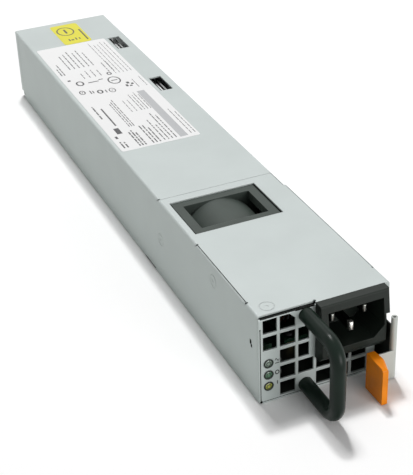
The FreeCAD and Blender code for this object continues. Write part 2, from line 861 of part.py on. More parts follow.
def make_inlet_contacts():
    """Three flat blades through the socket's floor, the earth blade longest."""
    blades = []
    for number, (x, z, lead) in enumerate(contact_places()):
        blades.append(block(
            f"contact{number}",
            (x - s.contact_width / 2, x + s.contact_width / 2),
            (front + s.contact_set_in - lead, front + s.housing_depth + s.contact_tail),
            (z - s.contact_height / 2, z + s.contact_height / 2),
        ))
    group("inlet_contacts", blades)


# ---------------------------------------------------------------- handle


def make_handle():
    """Round bar bent into a U that stands out from the panel: a section swept along a path."""
    body = new_body("handle")
    path = sketch_at(body, "X", s.handle_x)
    draw_handle_path(path)
    section = draw(body, "Y", front, [Disc(s.handle_x, handle_high, s.handle_radius)])
    DOC.recompute()
    pipe = body.newObject("PartDesign::AdditivePipe", "handle_sweep")
    pipe.Profile = section
    pipe.Spine = path
    DOC.recompute()
    for z in (s.handle_low, handle_high):
        cut(body, "Y", front - s.handle_screw_depth, front + OVERCUT, Disc(s.handle_x, z, s.handle_screw_radius))


def draw_handle_path(path):
    """Out from the panel, down and back, with two quarter bends."""
    y = front.value
    far = y - s.handle_reach.value
    high = handle_high.value
    low = s.handle_low.value
    bend = s.handle_bend.value
    slant = bend * (1 - math.sqrt(0.5))

    def point(u, v):
        return FreeCAD.Vector(u, v, 0)

    path.addGeometry(Part.LineSegment(point(y, high), point(far + bend, high)))
    path.addGeometry(Part.Arc(point(far + bend, high), point(far + slant, high - slant), point(far, high - bend)))
    path.addGeometry(Part.LineSegment(point(far, high - bend), point(far, low + bend)))
    path.addGeometry(Part.Arc(point(far, low + bend), point(far + slant, low + slant), point(far + bend, low)))
    path.addGeometry(Part.LineSegment(point(far + bend, low), point(y, low)))
    ends = path_ends(path)
    for line, (end, next_start) in enumerate(zip(ends[:-1], ends[1:])):
        path.addConstraint(Sketcher.Constraint("Tangent", line, end[1], line + 1, next_start[0]))
    for line, kind in ((0, "Horizontal"), (2, "Vertical"), (4, "Horizontal")):
        path.addConstraint(Sketcher.Constraint(kind, line))
    for line in (1, 3):
        index = path.addConstraint(Sketcher.Constraint("Radius", line, bend))
        path.setExpression(f"Constraints[{index}]", s.handle_bend.text)
    fix_point(path, 0, 1, front, handle_high)
    fix_point(path, 4, 2, front, s.handle_low)
    reach = front - s.handle_reach
    index = path.addConstraint(Sketcher.Constraint("DistanceX", -1, 1, 2, 1, reach.value))
    path.setExpression(f"Constraints[{index}]", reach.text)


def path_ends(path):
    """For each line or arc of a path, which of its ends comes first and which last."""
    order = []
    previous = None
    for shape in path.Geometry:
        start, end = shape.StartPoint, shape.EndPoint
        forward = previous is None or start.distanceToPoint(previous) < 1e-6
        order.append((1, 2) if forward else (2, 1))
        previous = end if forward else start
    return order


def make_handle_screws():
    """Screws from behind the panel into the handle's feet."""
    screws = []
    for number, z in enumerate((s.handle_low, handle_high)):
        across = (s.handle_x, z)
        back = front + s.sheet
        shank = rod(f"handle_screw_shank{number}", "Y", across,
                    (front - s.handle_screw_depth, back), s.handle_screw_radius)
        head = rod(f"handle_screw_head{number}", "Y", across,
                   (back, back + s.screw_head_height), s.handle_screw_head)
        screws.append(fuse(f"handle_screw{number}", shank, head))
    group("handle_screws", screws)


# ---------------------------------------------------------------- release latch


def rivet_levels():
    """Heights of the two rivets that hold the latch's tail."""
    return [s.rivet_z - s.rivet_pitch / 2, s.rivet_z + s.rivet_pitch / 2]


def make_latch_spring():
    """One strip of spring steel: tail, side arm with its catch, curled corner, plate and lug."""
    body = new_body("latch_spring")
    plate_back = plate_front + s.latch_sheet
    lug_right = lug_left + s.latch_sheet
    add(body, "Z", s.latch_low, s.latch_high, Disc(curl_x, curl_y, s.curl_radius))
    add(body, "Z", s.latch_low, s.latch_step, [
        (curl_x, plate_front), (curl_x, plate_back), (lug_left, plate_back),
        (lug_left, front - s.latch_lug), (lug_right, front - s.latch_lug), (lug_right, plate_front),
    ])
    add(body, "Z", s.latch_arm_low, s.latch_arm_high, rectangle(
        arm_in, arm_out, curl_y, front + s.latch_tail))
    cut(body, "Z", s.latch_low - OVERCUT, s.latch_high + OVERCUT, Disc(curl_x, curl_y, s.curl_radius - s.latch_sheet))
    cut(body, "X", arm_in - OVERCUT, arm_out + OVERCUT,
        *[Disc(front + s.rivet_y, z, s.rivet_radius + s.latch_play) for z in rivet_levels()])
    catch_y = front + s.catch_front
    add(body, "Z", s.rivet_z - s.catch_half_width, s.rivet_z + s.catch_half_width, [
        (arm_out, catch_y), (arm_out + s.catch_height, catch_y + s.latch_sheet),
        (arm_out, catch_y + s.catch_length),
    ])


def make_latch_rivets():
    """Rivets through the right wall that hold the latch's tail with a little play."""
    rivets = []
    for number, z in enumerate(rivet_levels()):
        across = (front + s.rivet_y, z)
        inner = arm_in - s.latch_play
        shank = rod(f"rivet_shank{number}", "X", across, (inner, half), s.rivet_radius)
        outer_head = rod(f"rivet_outer{number}", "X", across, (half, half + s.rivet_head_height), s.rivet_head)
        inner_head = rod(f"rivet_inner{number}", "X", across, (inner - s.rivet_head_height, inner), s.rivet_head)
        rivets.append(fuse(f"rivet{number}", shank, outer_head, inner_head))
    group("latch_rivets", rivets)


def make_release_tab():
    """Moulded tab pushed over the latch's lug."""
    body = new_body("release_tab")
    back = plate_front - s.seam
    tip = front - s.tab_front
    right = s.tab_left + s.tab_width
    belly = s.tab_left + s.tab_belly_width
    add(body, "Z", s.tab_low, s.tab_high, [
        (s.tab_left, back), (s.tab_left, tip), (right, tip),
        (belly, back - s.tab_belly), (s.tab_left + s.tab_root_width, back),
    ])
    round_edges(body, s.tab_belly, lambda e: runs(e, "z", x=belly, y=back - s.tab_belly))
    round_edges(body, s.tab_round, lambda e: (
        e.BoundBox.ZMin > s.tab_high.value - 0.01 and e.BoundBox.XMax > right.value - 0.01
        and e.BoundBox.YMin < back.value - 0.01))
    cut(body, "Y", front - s.latch_lug, back + OVERCUT, rectangle(
        lug_left, lug_left + s.latch_sheet, s.tab_low - OVERCUT, s.latch_step))


# ---------------------------------------------------------------- fan


def make_fan_frame():
    """Square frame round a barrel, hollowed between the rims, with struts to the motor's seat."""
    outer = block("fan_block", (fan_left, fan_right), (fan_start, fan_end), (fan_low, fan_high))
    middle = (s.fan_x, fan_z)
    between = (fan_start + s.fan_rim, fan_end - s.fan_rim)
    hollow_x = (fan_left + s.fan_rim, fan_right - s.fan_rim)
    hollow_z = (fan_low + s.fan_rim, fan_high - s.fan_rim)
    past_x = (fan_left - OVERCUT, fan_right + OVERCUT)
    past_z = (fan_low - OVERCUT, fan_high + OVERCUT)
    upright = block("fan_hollow_upright", hollow_x, between, past_z)
    level = block("fan_hollow_level", past_x, between, hollow_z)
    barrel = rod("fan_barrel", "Y", middle, between, s.fan_bore + s.fan_barrel_wall)
    pockets = carve("fan_pockets", fuse("fan_hollows", upright, level), barrel)
    bore = rod("fan_bore_tool", "Y", middle, (fan_start - OVERCUT, fan_end + OVERCUT), s.fan_bore)
    shell = carve("fan_shell", outer, pockets, bore)
    seat_start = fan_end - s.strut_depth
    seat = rod("fan_seat", "Y", middle, (seat_start, fan_end), s.fan_hub_radius)
    tube_start = seat_start - s.stator_length - s.bearing_length
    tube = rod("fan_tube", "Y", middle, (tube_start, seat_start), s.tube_radius)
    struts = []
    reach = s.fan_bore + s.fan_barrel_wall / 2
    count = int(s.strut_count.value)
    for number in range(count):
        strut = block(
            f"fan_strut{number}", (s.fan_hub_radius - OVERCUT, reach),
            (seat_start, fan_end), (-s.strut_width / 2, s.strut_width / 2))
        struts.append(turned(strut, 360 * (number + 0.5) / count))
    bearing_bore = rod("fan_tube_bore", "Y", middle, (tube_start - OVERCUT, seat_start), s.bearing_radius)
    solid = fuse("fan_frame_solid", shell, seat, tube, *struts)
    keep(carve("fan_frame", solid, bearing_bore), "fan_frame")


def turned(piece, angle):
    """A piece drawn about the Y axis through the origin, turned and moved to the fan's axis."""
    holder = DOC.addObject("Part::Compound", f"{piece.Name}_turned")
    holder.Links = [piece]
    holder.Placement = FreeCAD.Placement(FreeCAD.Vector(), FreeCAD.Rotation(FreeCAD.Vector(0, 1, 0), angle))
    move_to(holder, s.fan_x, 0, fan_z)
    return holder


def make_fan_bearings():
    """Two sleeve bearings in the ends of the fan's tube."""
    seat_start = fan_end - s.strut_depth
    tube_start = seat_start - s.stator_length - s.bearing_length
    rings = []
    for number, low in enumerate((tube_start, seat_start - s.bearing_length)):
        outer = rod(f"bearing_outer{number}", "Y", (s.fan_x, fan_z), (low, low + s.bearing_length), s.bearing_radius)
        inner = rod(f"bearing_inner{number}", "Y", (s.fan_x, fan_z),
                    (low - OVERCUT, low + s.bearing_length + OVERCUT), s.shaft_radius + s.shaft_play)
        rings.append(carve(f"bearing{number}", outer, inner))
    group("fan_bearings", rings)


def make_fan_stator():
    """Wound iron ring pushed over the fan's tube."""
    seat_start = fan_end - s.strut_depth
    low = seat_start - s.stator_length
    radius = s.fan_hub_radius - s.fan_hub_wall - s.magnet_wall - s.stator_gap
    ring = rod("stator_ring", "Y", (s.fan_x, fan_z), (low, seat_start), radius)
    hole = rod("stator_hole", "Y", (s.fan_x, fan_z), (low - OVERCUT, seat_start + OVERCUT), s.tube_radius)
    keep(carve("fan_stator", ring, hole), "fan_stator")


def hub_levels():
    """Front face and rear rim of the fan's hub."""
    hub_front = fan_start + s.fan_inset
    return hub_front, hub_front + s.fan_hub_length


def make_fan_magnet():
    """Ring magnet inside the hub, round the stator."""
    hub_front, hub_rear = hub_levels()
    outer_radius = s.fan_hub_radius - s.fan_hub_wall
    low = hub_rear - s.stator_length
    ring = rod("magnet_ring", "Y", (s.fan_x, fan_z), (low, hub_rear), outer_radius)
    hole = rod("magnet_hole", "Y", (s.fan_x, fan_z), (low - OVERCUT, hub_rear + OVERCUT),
               outer_radius - s.magnet_wall)
    keep(carve("fan_magnet", ring, hole), "fan_magnet")


def make_fan_shaft():
    """Steel shaft from the hub's face through both bearings."""
    hub_front, hub_rear = hub_levels()
    seat_start = fan_end - s.strut_depth
    keep(rod("fan_shaft", "Y", (s.fan_x, fan_z),
             (hub_front + s.fan_hub_wall * 2, seat_start - s.shaft_play * 4), s.shaft_radius), "fan_shaft")


def blade_section(radius, angle):
    """A cambered lens across the fan's radius, turned to its stagger angle, about the Y axis."""
    half_chord = s.blade_chord.value / 2
    camber = s.blade_camber.value
    thick = s.blade_thickness.value / 2
    lead = FreeCAD.Vector(radius, -half_chord, 0)
    trail = FreeCAD.Vector(radius, half_chord, 0)
    upper = Part.Arc(lead, FreeCAD.Vector(radius, 0, camber + thick), trail).toShape()
    lower = Part.Arc(trail, FreeCAD.Vector(radius, 0, camber - thick), lead).toShape()
    wire = Part.Wire([upper, lower])
    wire.rotate(FreeCAD.Vector(radius, 0, 0), FreeCAD.Vector(1, 0, 0), angle)
    return wire


def make_fan_impeller():
    """Cupped hub with twisted, cambered blades whose tips are turned to the bore."""
    hub_front, hub_rear = hub_levels()
    axis = FreeCAD.Vector(0, 1, 0)
    hub_radius = s.fan_hub_radius.value
    tip_radius = s.fan_bore.value - s.blade_tip_gap.value
    length = s.fan_hub_length.value
    face = s.fan_hub_wall.value * 2
    hub = Part.makeCylinder(hub_radius, length, FreeCAD.Vector(0, 0, 0), axis)
    rim = [e for e in hub.Edges if e.Closed and abs(e.BoundBox.YMax) < 1e-6 and e.Curve.TypeId == "Part::GeomCircle"]
    hub = hub.makeFillet(face * 0.9, rim)
    stagger = s.blade_stagger.value
    root = blade_section(hub_radius * 0.65, stagger)
    tip = blade_section(tip_radius + 1.0, stagger + s.blade_twist.value)
    blade = Part.makeLoft([root, tip], True)
    blade.translate(FreeCAD.Vector(0, length / 2, 0))
    count = int(s.blade_count.value)
    blades = []
    for number in range(count):
        copy = blade.copy()
        copy.rotate(FreeCAD.Vector(), axis, 360.0 * number / count)
        blades.append(copy)
    sweep = Part.makeCylinder(tip_radius, length * 2, FreeCAD.Vector(0, -length / 2, 0), axis)
    solid = hub.multiFuse([blade.common(sweep) for blade in blades])
    cup = Part.makeCylinder(hub_radius - s.fan_hub_wall.value, length, FreeCAD.Vector(0, face, 0), axis)
    solid = solid.cut(cup).removeSplitter()
    impeller = DOC.addObject("Part::Feature", "fan_impeller")
    impeller.Shape = solid
    move_to(impeller, s.fan_x, hub_front, fan_z)
    keep(impeller, "fan_impeller")


# ---------------------------------------------------------------- circuit boards


def board_holes():
    """The main board's screw places: x and y."""
    inset = s.board_screw_inset
    left = inset - board_half
    right = board_half - inset
    return [(x, y) for y in (board_start + inset, board_end - inset) for x in (left, right)]


def filter_holes():
    """The filter board's screw places: x and y."""
    inset = s.board_screw_inset
    return [
        (s.filter_left + inset, front + s.filter_front + inset),
        (s.filter_right - inset, front + s.filter_rear - inset),
    ]


def make_main_board():
    """Main circuit board, its rear edge a tongue that plugs into the server."""
    body = new_body("main_board")
    tongue = s.edge_width / 2
    tip = rear + s.edge_reach
    add(body, "Z", board_low, board_high, [
        (-board_half, board_start), (board_half, board_start), (board_half, board_end),
        (tongue, board_end), (tongue, tip), (-tongue, tip), (-tongue, board_end), (-board_half, board_end),
    ])
    cut(body, "Z", board_low - OVERCUT, board_high + OVERCUT,
        *[Disc(x, y, s.board_screw_radius) for x, y in board_holes()])


def make_filter_board():
    """Small board behind the inlet that carries the line filter."""
    body = new_body("filter_board")
    add(body, "Z", board_low, board_high, rectangle(
        s.filter_left, s.filter_right, front + s.filter_front, front + s.filter_rear))
    cut(body, "Z", board_low - OVERCUT, board_high + OVERCUT,
        *[Disc(x, y, s.board_screw_radius) for x, y in filter_holes()])


def make_edge_contacts():
    """Gold pads on both faces of the tongue."""
    pads = []
    count = int(s.contact_pad_count.value)
    pitch = s.edge_width / count
    tip = rear + s.edge_reach - s.contact_pad_thickness * 6
    thick = s.contact_pad_thickness
    for face, (low, high) in enumerate(((board_high, board_high + thick), (board_low - thick, board_low))):
        for number in range(count):
            x = pitch * (number + 0.5) - s.edge_width / 2
            pads.append(block(
                f"pad{face}_{number}", (x - s.contact_pad_width / 2, x + s.contact_pad_width / 2),
                (tip - s.contact_pad_length, tip), (low, high)))
    group("edge_contacts", pads)


def make_standoffs():
    """Threaded pillars on the floor under the boards' corners, through the insulating film."""
    pillars = []
    for number, (x, y) in enumerate(board_holes() + filter_holes()):
        outer = rod(f"pillar_outer{number}", "Z", (x, y), (s.sheet, board_low), s.standoff_radius)
        pillars.append(outer)
    group("board_standoffs", pillars)


def make_board_screws():
    """Pan-head screws that hold the boards to their pillars."""
    screws = []
    for number, (x, y) in enumerate(board_holes() + filter_holes()):
        shank = rod(f"board_screw_shank{number}", "Z", (x, y), (board_low, board_high), s.board_screw_radius)
        head = rod(f"board_screw_head{number}", "Z", (x, y),
                   (board_high, board_high + s.screw_head_height), s.board_screw_head)
        screws.append(fuse(f"board_screw{number}", shank, head))
    group("board_screws", screws)


def make_insulator():
    """Film between the main board and the floor, with clearance round the pillars."""
    body = new_body("insulator_film")
    add(body, "Z", s.sheet, s.sheet + s.film, rectangle(-board_half, board_half, board_start, board_end))
    cut(body, "Z", s.sheet - OVERCUT, s.sheet + s.film + OVERCUT,
        *[Disc(x, y, s.standoff_radius + s.seam) for x, y in board_holes()])


def make_indicator_board():
    """Narrow board behind the panel that carries the lamps, held by a pillar to the panel."""
    body = new_body("indicator_board")
    start = front + s.lamp_board_front
    low = s.lamp_z - s.lamp_pitch * 2 - s.lamp_radius * 2
    high = s.lamp_z + s.lamp_radius * 2
    add(body, "Y", start, start + s.board_thickness, rectangle(
        s.lamp_x - s.lamp_radius - s.seam, s.lamp_x + s.lamp_radius * 3, low, high))


def make_indicator_spacers():
    """Pillars that carry the indicator board behind the panel's blank part."""
    x = s.lamp_x + s.lamp_radius * 2
    pillars = []
    for number, step in enumerate((0.5, 1.5)):
        pillars.append(rod(f"indicator_pillar{number}", "Y", (x, s.lamp_z - s.lamp_pitch * step),
                           (front + s.sheet, front + s.lamp_board_front), s.lamp_radius * 0.7))
    group("indicator_spacers", pillars)


def make_lamps(label, levels):
    """Round-nosed indicator lamps that stand on their board and fill the panel's holes."""
    lamps = []
    for number, z in enumerate(levels):
        lamps.append(rod(f"{label}{number}", "Y", (s.lamp_x, z),
                         (front - s.lamp_play, front + s.lamp_board_front), s.lamp_radius))
    if len(lamps) == 1:
        keep(lamps[0], label)
    else:
        group(label, lamps)


# ---------------------------------------------------------------- components on the boards


def make_bulk_capacitors():
    """Two large cans lying in line along the board."""
    cans = []
    for number in range(2):
        start = board_start + s.bulk_can_front + s.bulk_can_pitch * number
        cans.append(rod(f"bulk_can{number}", "Y", (s.bulk_can_x, board_high + s.bulk_can_radius),
                        (start, start + s.bulk_can_length), s.bulk_can_radius))
    group("bulk_capacitors", cans)


def make_output_capacitors():
    """Low-ESR cans in two rows near the board's rear edge."""
    cans = []
    for row in range(2):
        y = board_end - s.output_can_rear - s.output_can_pitch_y * row
        for column in range(4):
            cans.append(rod(f"output_can{row}{column}", "Z", (s.output_can_x + s.output_can_pitch_x * column, y),
                            (board_high, board_high + s.output_can_height), s.output_can_radius))
    group("output_capacitors", cans)


def wound_ring(label, x, y, radius, bore, length):
    """An upright wound ring core that stands on its board, its axis along the case."""
    z = board_high + radius
    ring = rod(f"{label}_ring", "Y", (x, z), (y - length / 2, y + length / 2), radius)
    hole = rod(f"{label}_hole", "Y", (x, z), (y - length / 2 - OVERCUT, y + length / 2 + OVERCUT), bore)
    keep(carve(label, ring, hole), label)


def make_chokes():
    """The wound rings of the power-factor stage and of the line filter."""
    wound_ring("pfc_choke", s.bulk_can_x, board_start + s.pfc_choke_y,
               s.pfc_choke_radius, s.pfc_choke_bore, s.pfc_choke_length)
    wound_ring("line_choke", s.line_choke_x, front + s.filter_front + s.line_choke_y,
               s.line_choke_radius, s.line_choke_bore, s.line_choke_length)


def make_transformer():
    """Ferrite core in two halves round its winding."""
    left, right = s.core_left, s.core_left + s.core_width
    start = board_start + s.core_front
    end = start + s.core_length
    high = board_high + s.core_height
    window_x = (left + s.core_leg, right - s.core_leg)
    window_z = (board_high + s.core_leg, high - s.core_leg)
    outer = block("core_block", (left, right), (start, end), (board_high, high))
    window = block("core_window", window_x, (start - OVERCUT, end + OVERCUT), window_z)
    keep(carve("transformer_core", outer, window), "transformer_core")
    keep(block("transformer_winding", window_x,
               (start - s.winding_overhang, end + s.winding_overhang), window_z), "transformer_winding")


def fin_comb(label, start, end):
    """Extruded heat sink: a base web with upright fins under a cover slot."""
    body = new_body(label)
    web = board_high + s.fin_web
    high = top - s.fin_cover_gap
    left = s.slot_left - s.fin_slot_inset
    count = int(s.fin_count.value)
    right = left + s.fin_pitch * (count - 1) + s.fin_thickness
    outline = [(left, board_high), (right, board_high), (right, high)]
    for fin in reversed(range(count)):
        x = left + s.fin_pitch * fin
        outline += [(x, high)]
        if fin:
            valley = x - s.fin_pitch + s.fin_thickness
            outline += [(x, web), (valley, web), (valley, high)]
    add(body, "Y", start, end, outline)


def make_heat_sinks():
    """The two finned heat sinks whose fins show through the cover's slots."""
    for label, number, lead, trail in (
            ("primary_heat_sink", 1, s.primary_sink_lead, s.primary_sink_trail),
            ("secondary_heat_sink", 2, s.secondary_sink_lead, s.secondary_sink_trail)):
        fin_comb(label, slot_start(number) - lead, slot_start(number) + s.slot_length + trail)


def make_transistors(label, start, count):
    """Flat power packages in a row against a heat sink's left face."""
    packages = []
    face = s.slot_left - s.fin_slot_inset
    for number in range(count):
        y = start + s.package_pitch * number
        packages.append(block(f"{label}{number}", (face - s.package_thickness, face),
                              (y, y + s.package_width), (board_high, board_high + s.package_height)))
    group(label, packages)


def make_small_parts():
    """The bridge, relay, fuse, film capacitors, control card and bus bars."""
    bridge_y = board_start + s.bridge_front
    keep(block("bridge_rectifier", (s.bridge_x, s.bridge_x + s.package_thickness),
               (bridge_y, bridge_y + s.bridge_length),
               (board_high, board_high + s.bridge_height)), "bridge_rectifier")
    relay_y = board_start + s.relay_front
    keep(block("inrush_relay", (s.relay_x, s.relay_x + s.relay_width), (relay_y, relay_y + s.relay_length),
               (board_high, board_high + s.relay_height)), "inrush_relay")
    filter_y = front + s.filter_front
    keep(rod("line_fuse", "Y", (s.fuse_x, board_high + s.fuse_radius),
             (filter_y + s.fuse_front, filter_y + s.fuse_front + s.fuse_length), s.fuse_radius), "line_fuse")
    films = []
    for number, (x, y, height) in enumerate((
            (s.filter_capacitor_x, filter_y + s.filter_capacitor_front, s.filter_capacitor_height),
            (s.relay_x, board_start + s.main_capacitor_front, s.main_capacitor_height))):
        films.append(block(f"film_capacitor{number}", (x, x + s.film_capacitor_width),
                           (y, y + s.film_capacitor_thickness), (board_high, board_high + height)))
    group("film_capacitors", films)
    card_y = board_start + s.card_front
    keep(block("control_card", (s.card_x, s.card_x + s.board_thickness), (card_y, card_y + s.card_length),
               (board_high, board_high + s.card_height)), "control_card")
    bars = []
    bar_end = board_end - s.bus_bar_rear_gap
    for number in range(2):
        x = s.bus_bar_x + s.bus_bar_pitch * number
        bars.append(block(f"bus_bar{number}", (x, x + s.bus_bar_width), (bar_end - s.bus_bar_length, bar_end),
                          (board_high, board_high + s.bus_bar_height)))
    group("bus_bars", bars)


# ---------------------------------------------------------------- labels on the cover


def make_labels():
    """The printed rating label and the small yellow label, stuck on the cover."""
    high = s.body_height
    label = new_body("rating_label")
    add(label, "Z", high, high + s.label_thickness, rectangle(
        s.label_left, s.label_right, front + s.label_front, front + s.label_rear))
    sticker = new_body("round_label")
    start = front + s.sticker_front
    add(sticker, "Z", high, high + s.label_thickness, rectangle(
        -s.sticker_half_width, s.sticker_half_width, start, start + s.sticker_length))
    round_edges(sticker, s.sticker_corner, lambda e: runs(e, "z"))


# ---------------------------------------------------------------- build


def check_and_write():
    """Stop on any failed object or bad shape, then write one STEP file for each sub-part."""
    DOC.recompute()
    for feature in DOC.Objects:
        for state in ("Invalid", "Error"):
            if state in feature.State:
                raise RuntimeError(f"{feature.Name} failed: {feature.State}")
    for node in NODES:
        if node.Shape.isNull() or not node.Shape.isValid() or not node.Shape.Solids:
            raise RuntimeError(f"{node.Label} has no valid solid")
    os.makedirs("parts", exist_ok=True)
    for node in NODES:
        node.Shape.exportStep(os.path.join("parts", f"{node.Label}.step"))
        print(node.Label, len(node.Shape.Solids), round(node.Shape.Volume, 1))


make_chassis()
make_top_cover()
make_cover_screws()
make_front_panel()
make_rear_panel()
make_inlet_bezel()
make_inlet_contacts()
make_handle()
make_handle_screws()
make_latch_spring()
make_latch_rivets()
make_release_tab()
make_fan_frame()
make_fan_bearings()
make_fan_stator()
make_fan_magnet()
make_fan_shaft()
make_fan_impeller()
make_main_board()
make_filter_board()
make_edge_contacts()
make_standoffs()
make_board_screws()
make_insulator()
make_indicator_board()
make_indicator_spacers()
make_lamps("green_lamps", lamp_levels()[:2])
make_lamps("amber_lamp", lamp_levels()[2:])
make_bulk_capacitors()
make_output_capacitors()
make_chokes()
make_transformer()
make_heat_sinks()
make_transistors("primary_transistors", slot_start(1) - s.primary_sink_trail, 3)
make_transistors("secondary_transistors", slot_start(2) - s.secondary_sink_trail, 3)
make_small_parts()
make_labels()
check_and_write()
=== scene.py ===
"""Finish and printed detail of a hot swap server power supply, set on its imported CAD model."""
import json
import logging
import math
import random
from dataclasses import dataclass, field
from enum import Enum

import bmesh
import bpy
from mathutils import Matrix, Vector


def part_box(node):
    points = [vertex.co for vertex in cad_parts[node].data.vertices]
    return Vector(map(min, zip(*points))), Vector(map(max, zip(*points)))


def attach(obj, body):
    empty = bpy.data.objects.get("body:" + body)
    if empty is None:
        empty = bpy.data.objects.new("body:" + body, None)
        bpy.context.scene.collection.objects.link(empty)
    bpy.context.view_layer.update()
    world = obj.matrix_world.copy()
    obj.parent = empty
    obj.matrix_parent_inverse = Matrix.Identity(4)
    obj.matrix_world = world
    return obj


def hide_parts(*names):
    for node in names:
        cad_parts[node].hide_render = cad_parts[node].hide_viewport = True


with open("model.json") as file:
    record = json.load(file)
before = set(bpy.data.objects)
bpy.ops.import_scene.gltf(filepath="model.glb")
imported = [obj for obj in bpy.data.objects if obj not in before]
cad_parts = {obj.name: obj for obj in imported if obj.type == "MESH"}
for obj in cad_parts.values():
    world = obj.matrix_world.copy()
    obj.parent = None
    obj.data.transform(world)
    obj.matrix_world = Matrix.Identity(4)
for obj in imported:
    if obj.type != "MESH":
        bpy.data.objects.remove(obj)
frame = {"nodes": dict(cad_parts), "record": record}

LOG = logging.getLogger("power_supply")
MM = 0.001
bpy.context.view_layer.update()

Colour = tuple[float, float, float]
Point = tuple[float, float, float]
Stretch = tuple[float, float, float]
Outline = list[tuple[float, float]]
Paint = Colour | bpy.types.NodeSocket


# ---------------------------------------------------------------- axes


class Axis(Enum):
    """The axis that a turned piece is made about."""

    X = "X"
    Y = "Y"
    Z = "Z"

    def place(self, along: float, radius: float, angle: float) -> Vector:
        """A point of a turned piece.

        Args:
            along: distance along the axis.
            radius: distance from the axis.
            angle: turn about the axis.

        Returns:
            The point, for an axis through the origin.
        """
        first = math.cos(angle) * radius
        second = math.sin(angle) * radius
        if self is Axis.X:
            return Vector((along, first, second))
        if self is Axis.Y:
            return Vector((second, along, first))
        return Vector((first, second, along))


# ---------------------------------------------------------------- shader building


class Value:
    """A number socket of a shader tree that takes part in Python expressions."""

    def __init__(self, tree: "ShaderTree", socket: bpy.types.NodeSocket) -> None:
        """Keep the socket and the tree that it belongs to."""
        self.tree = tree
        self.socket = socket

    def _with(self, operation: str, first: "Operand", second: "Operand") -> "Value":
        """Add one Math node.

        Args:
            operation: the Math node's operation.
            first: its upper input.
            second: its lower input.

        Returns:
            The node's result.
        """
        node = self.tree.add("ShaderNodeMath", {"operation": operation}, {0: first, 1: second})
        return Value(self.tree, node.outputs[0])

    def __add__(self, other: "Operand") -> "Value":
        """Sum."""
        return self._with("ADD", self, other)

    def __radd__(self, other: "Operand") -> "Value":
        """Sum."""
        return self._with("ADD", other, self)

    def __sub__(self, other: "Operand") -> "Value":
        """Difference."""
        return self._with("SUBTRACT", self, other)

    def __rsub__(self, other: "Operand") -> "Value":
        """Difference from a number."""
        return self._with("SUBTRACT", other, self)

    def __mul__(self, other: "Operand") -> "Value":
        """Product."""
        return self._with("MULTIPLY", self, other)

    def __rmul__(self, other: "Operand") -> "Value":
        """Product."""
        return self._with("MULTIPLY", other, self)

    def above(self, limit: float) -> "Value":
        """One where the value is above the limit, else zero."""
        return self._with("GREATER_THAN", self, limit)

    def below(self, limit: float) -> "Value":
        """One where the value is below the limit, else zero."""
        return self._with("LESS_THAN", self, limit)

    def larger(self, other: "Operand") -> "Value":
        """The larger of two values."""
        return self._with("MAXIMUM", self, other)

    def fade(self, low: float, high: float) -> "Value":
        """A smooth step between two levels.

        Args:
            low: level that becomes zero.
            high: level that becomes one.

        Returns:
            The step, clamped to 0 and 1.
        """
        node = self.tree.add(
            "ShaderNodeMapRange", {"interpolation_type": "SMOOTHSTEP", "clamp": True},
            {"Value": self, "From Min": low, "From Max": high, "To Min": 0.0, "To Max": 1.0})
        return Value(self.tree, node.outputs[0])


Operand = Value | float


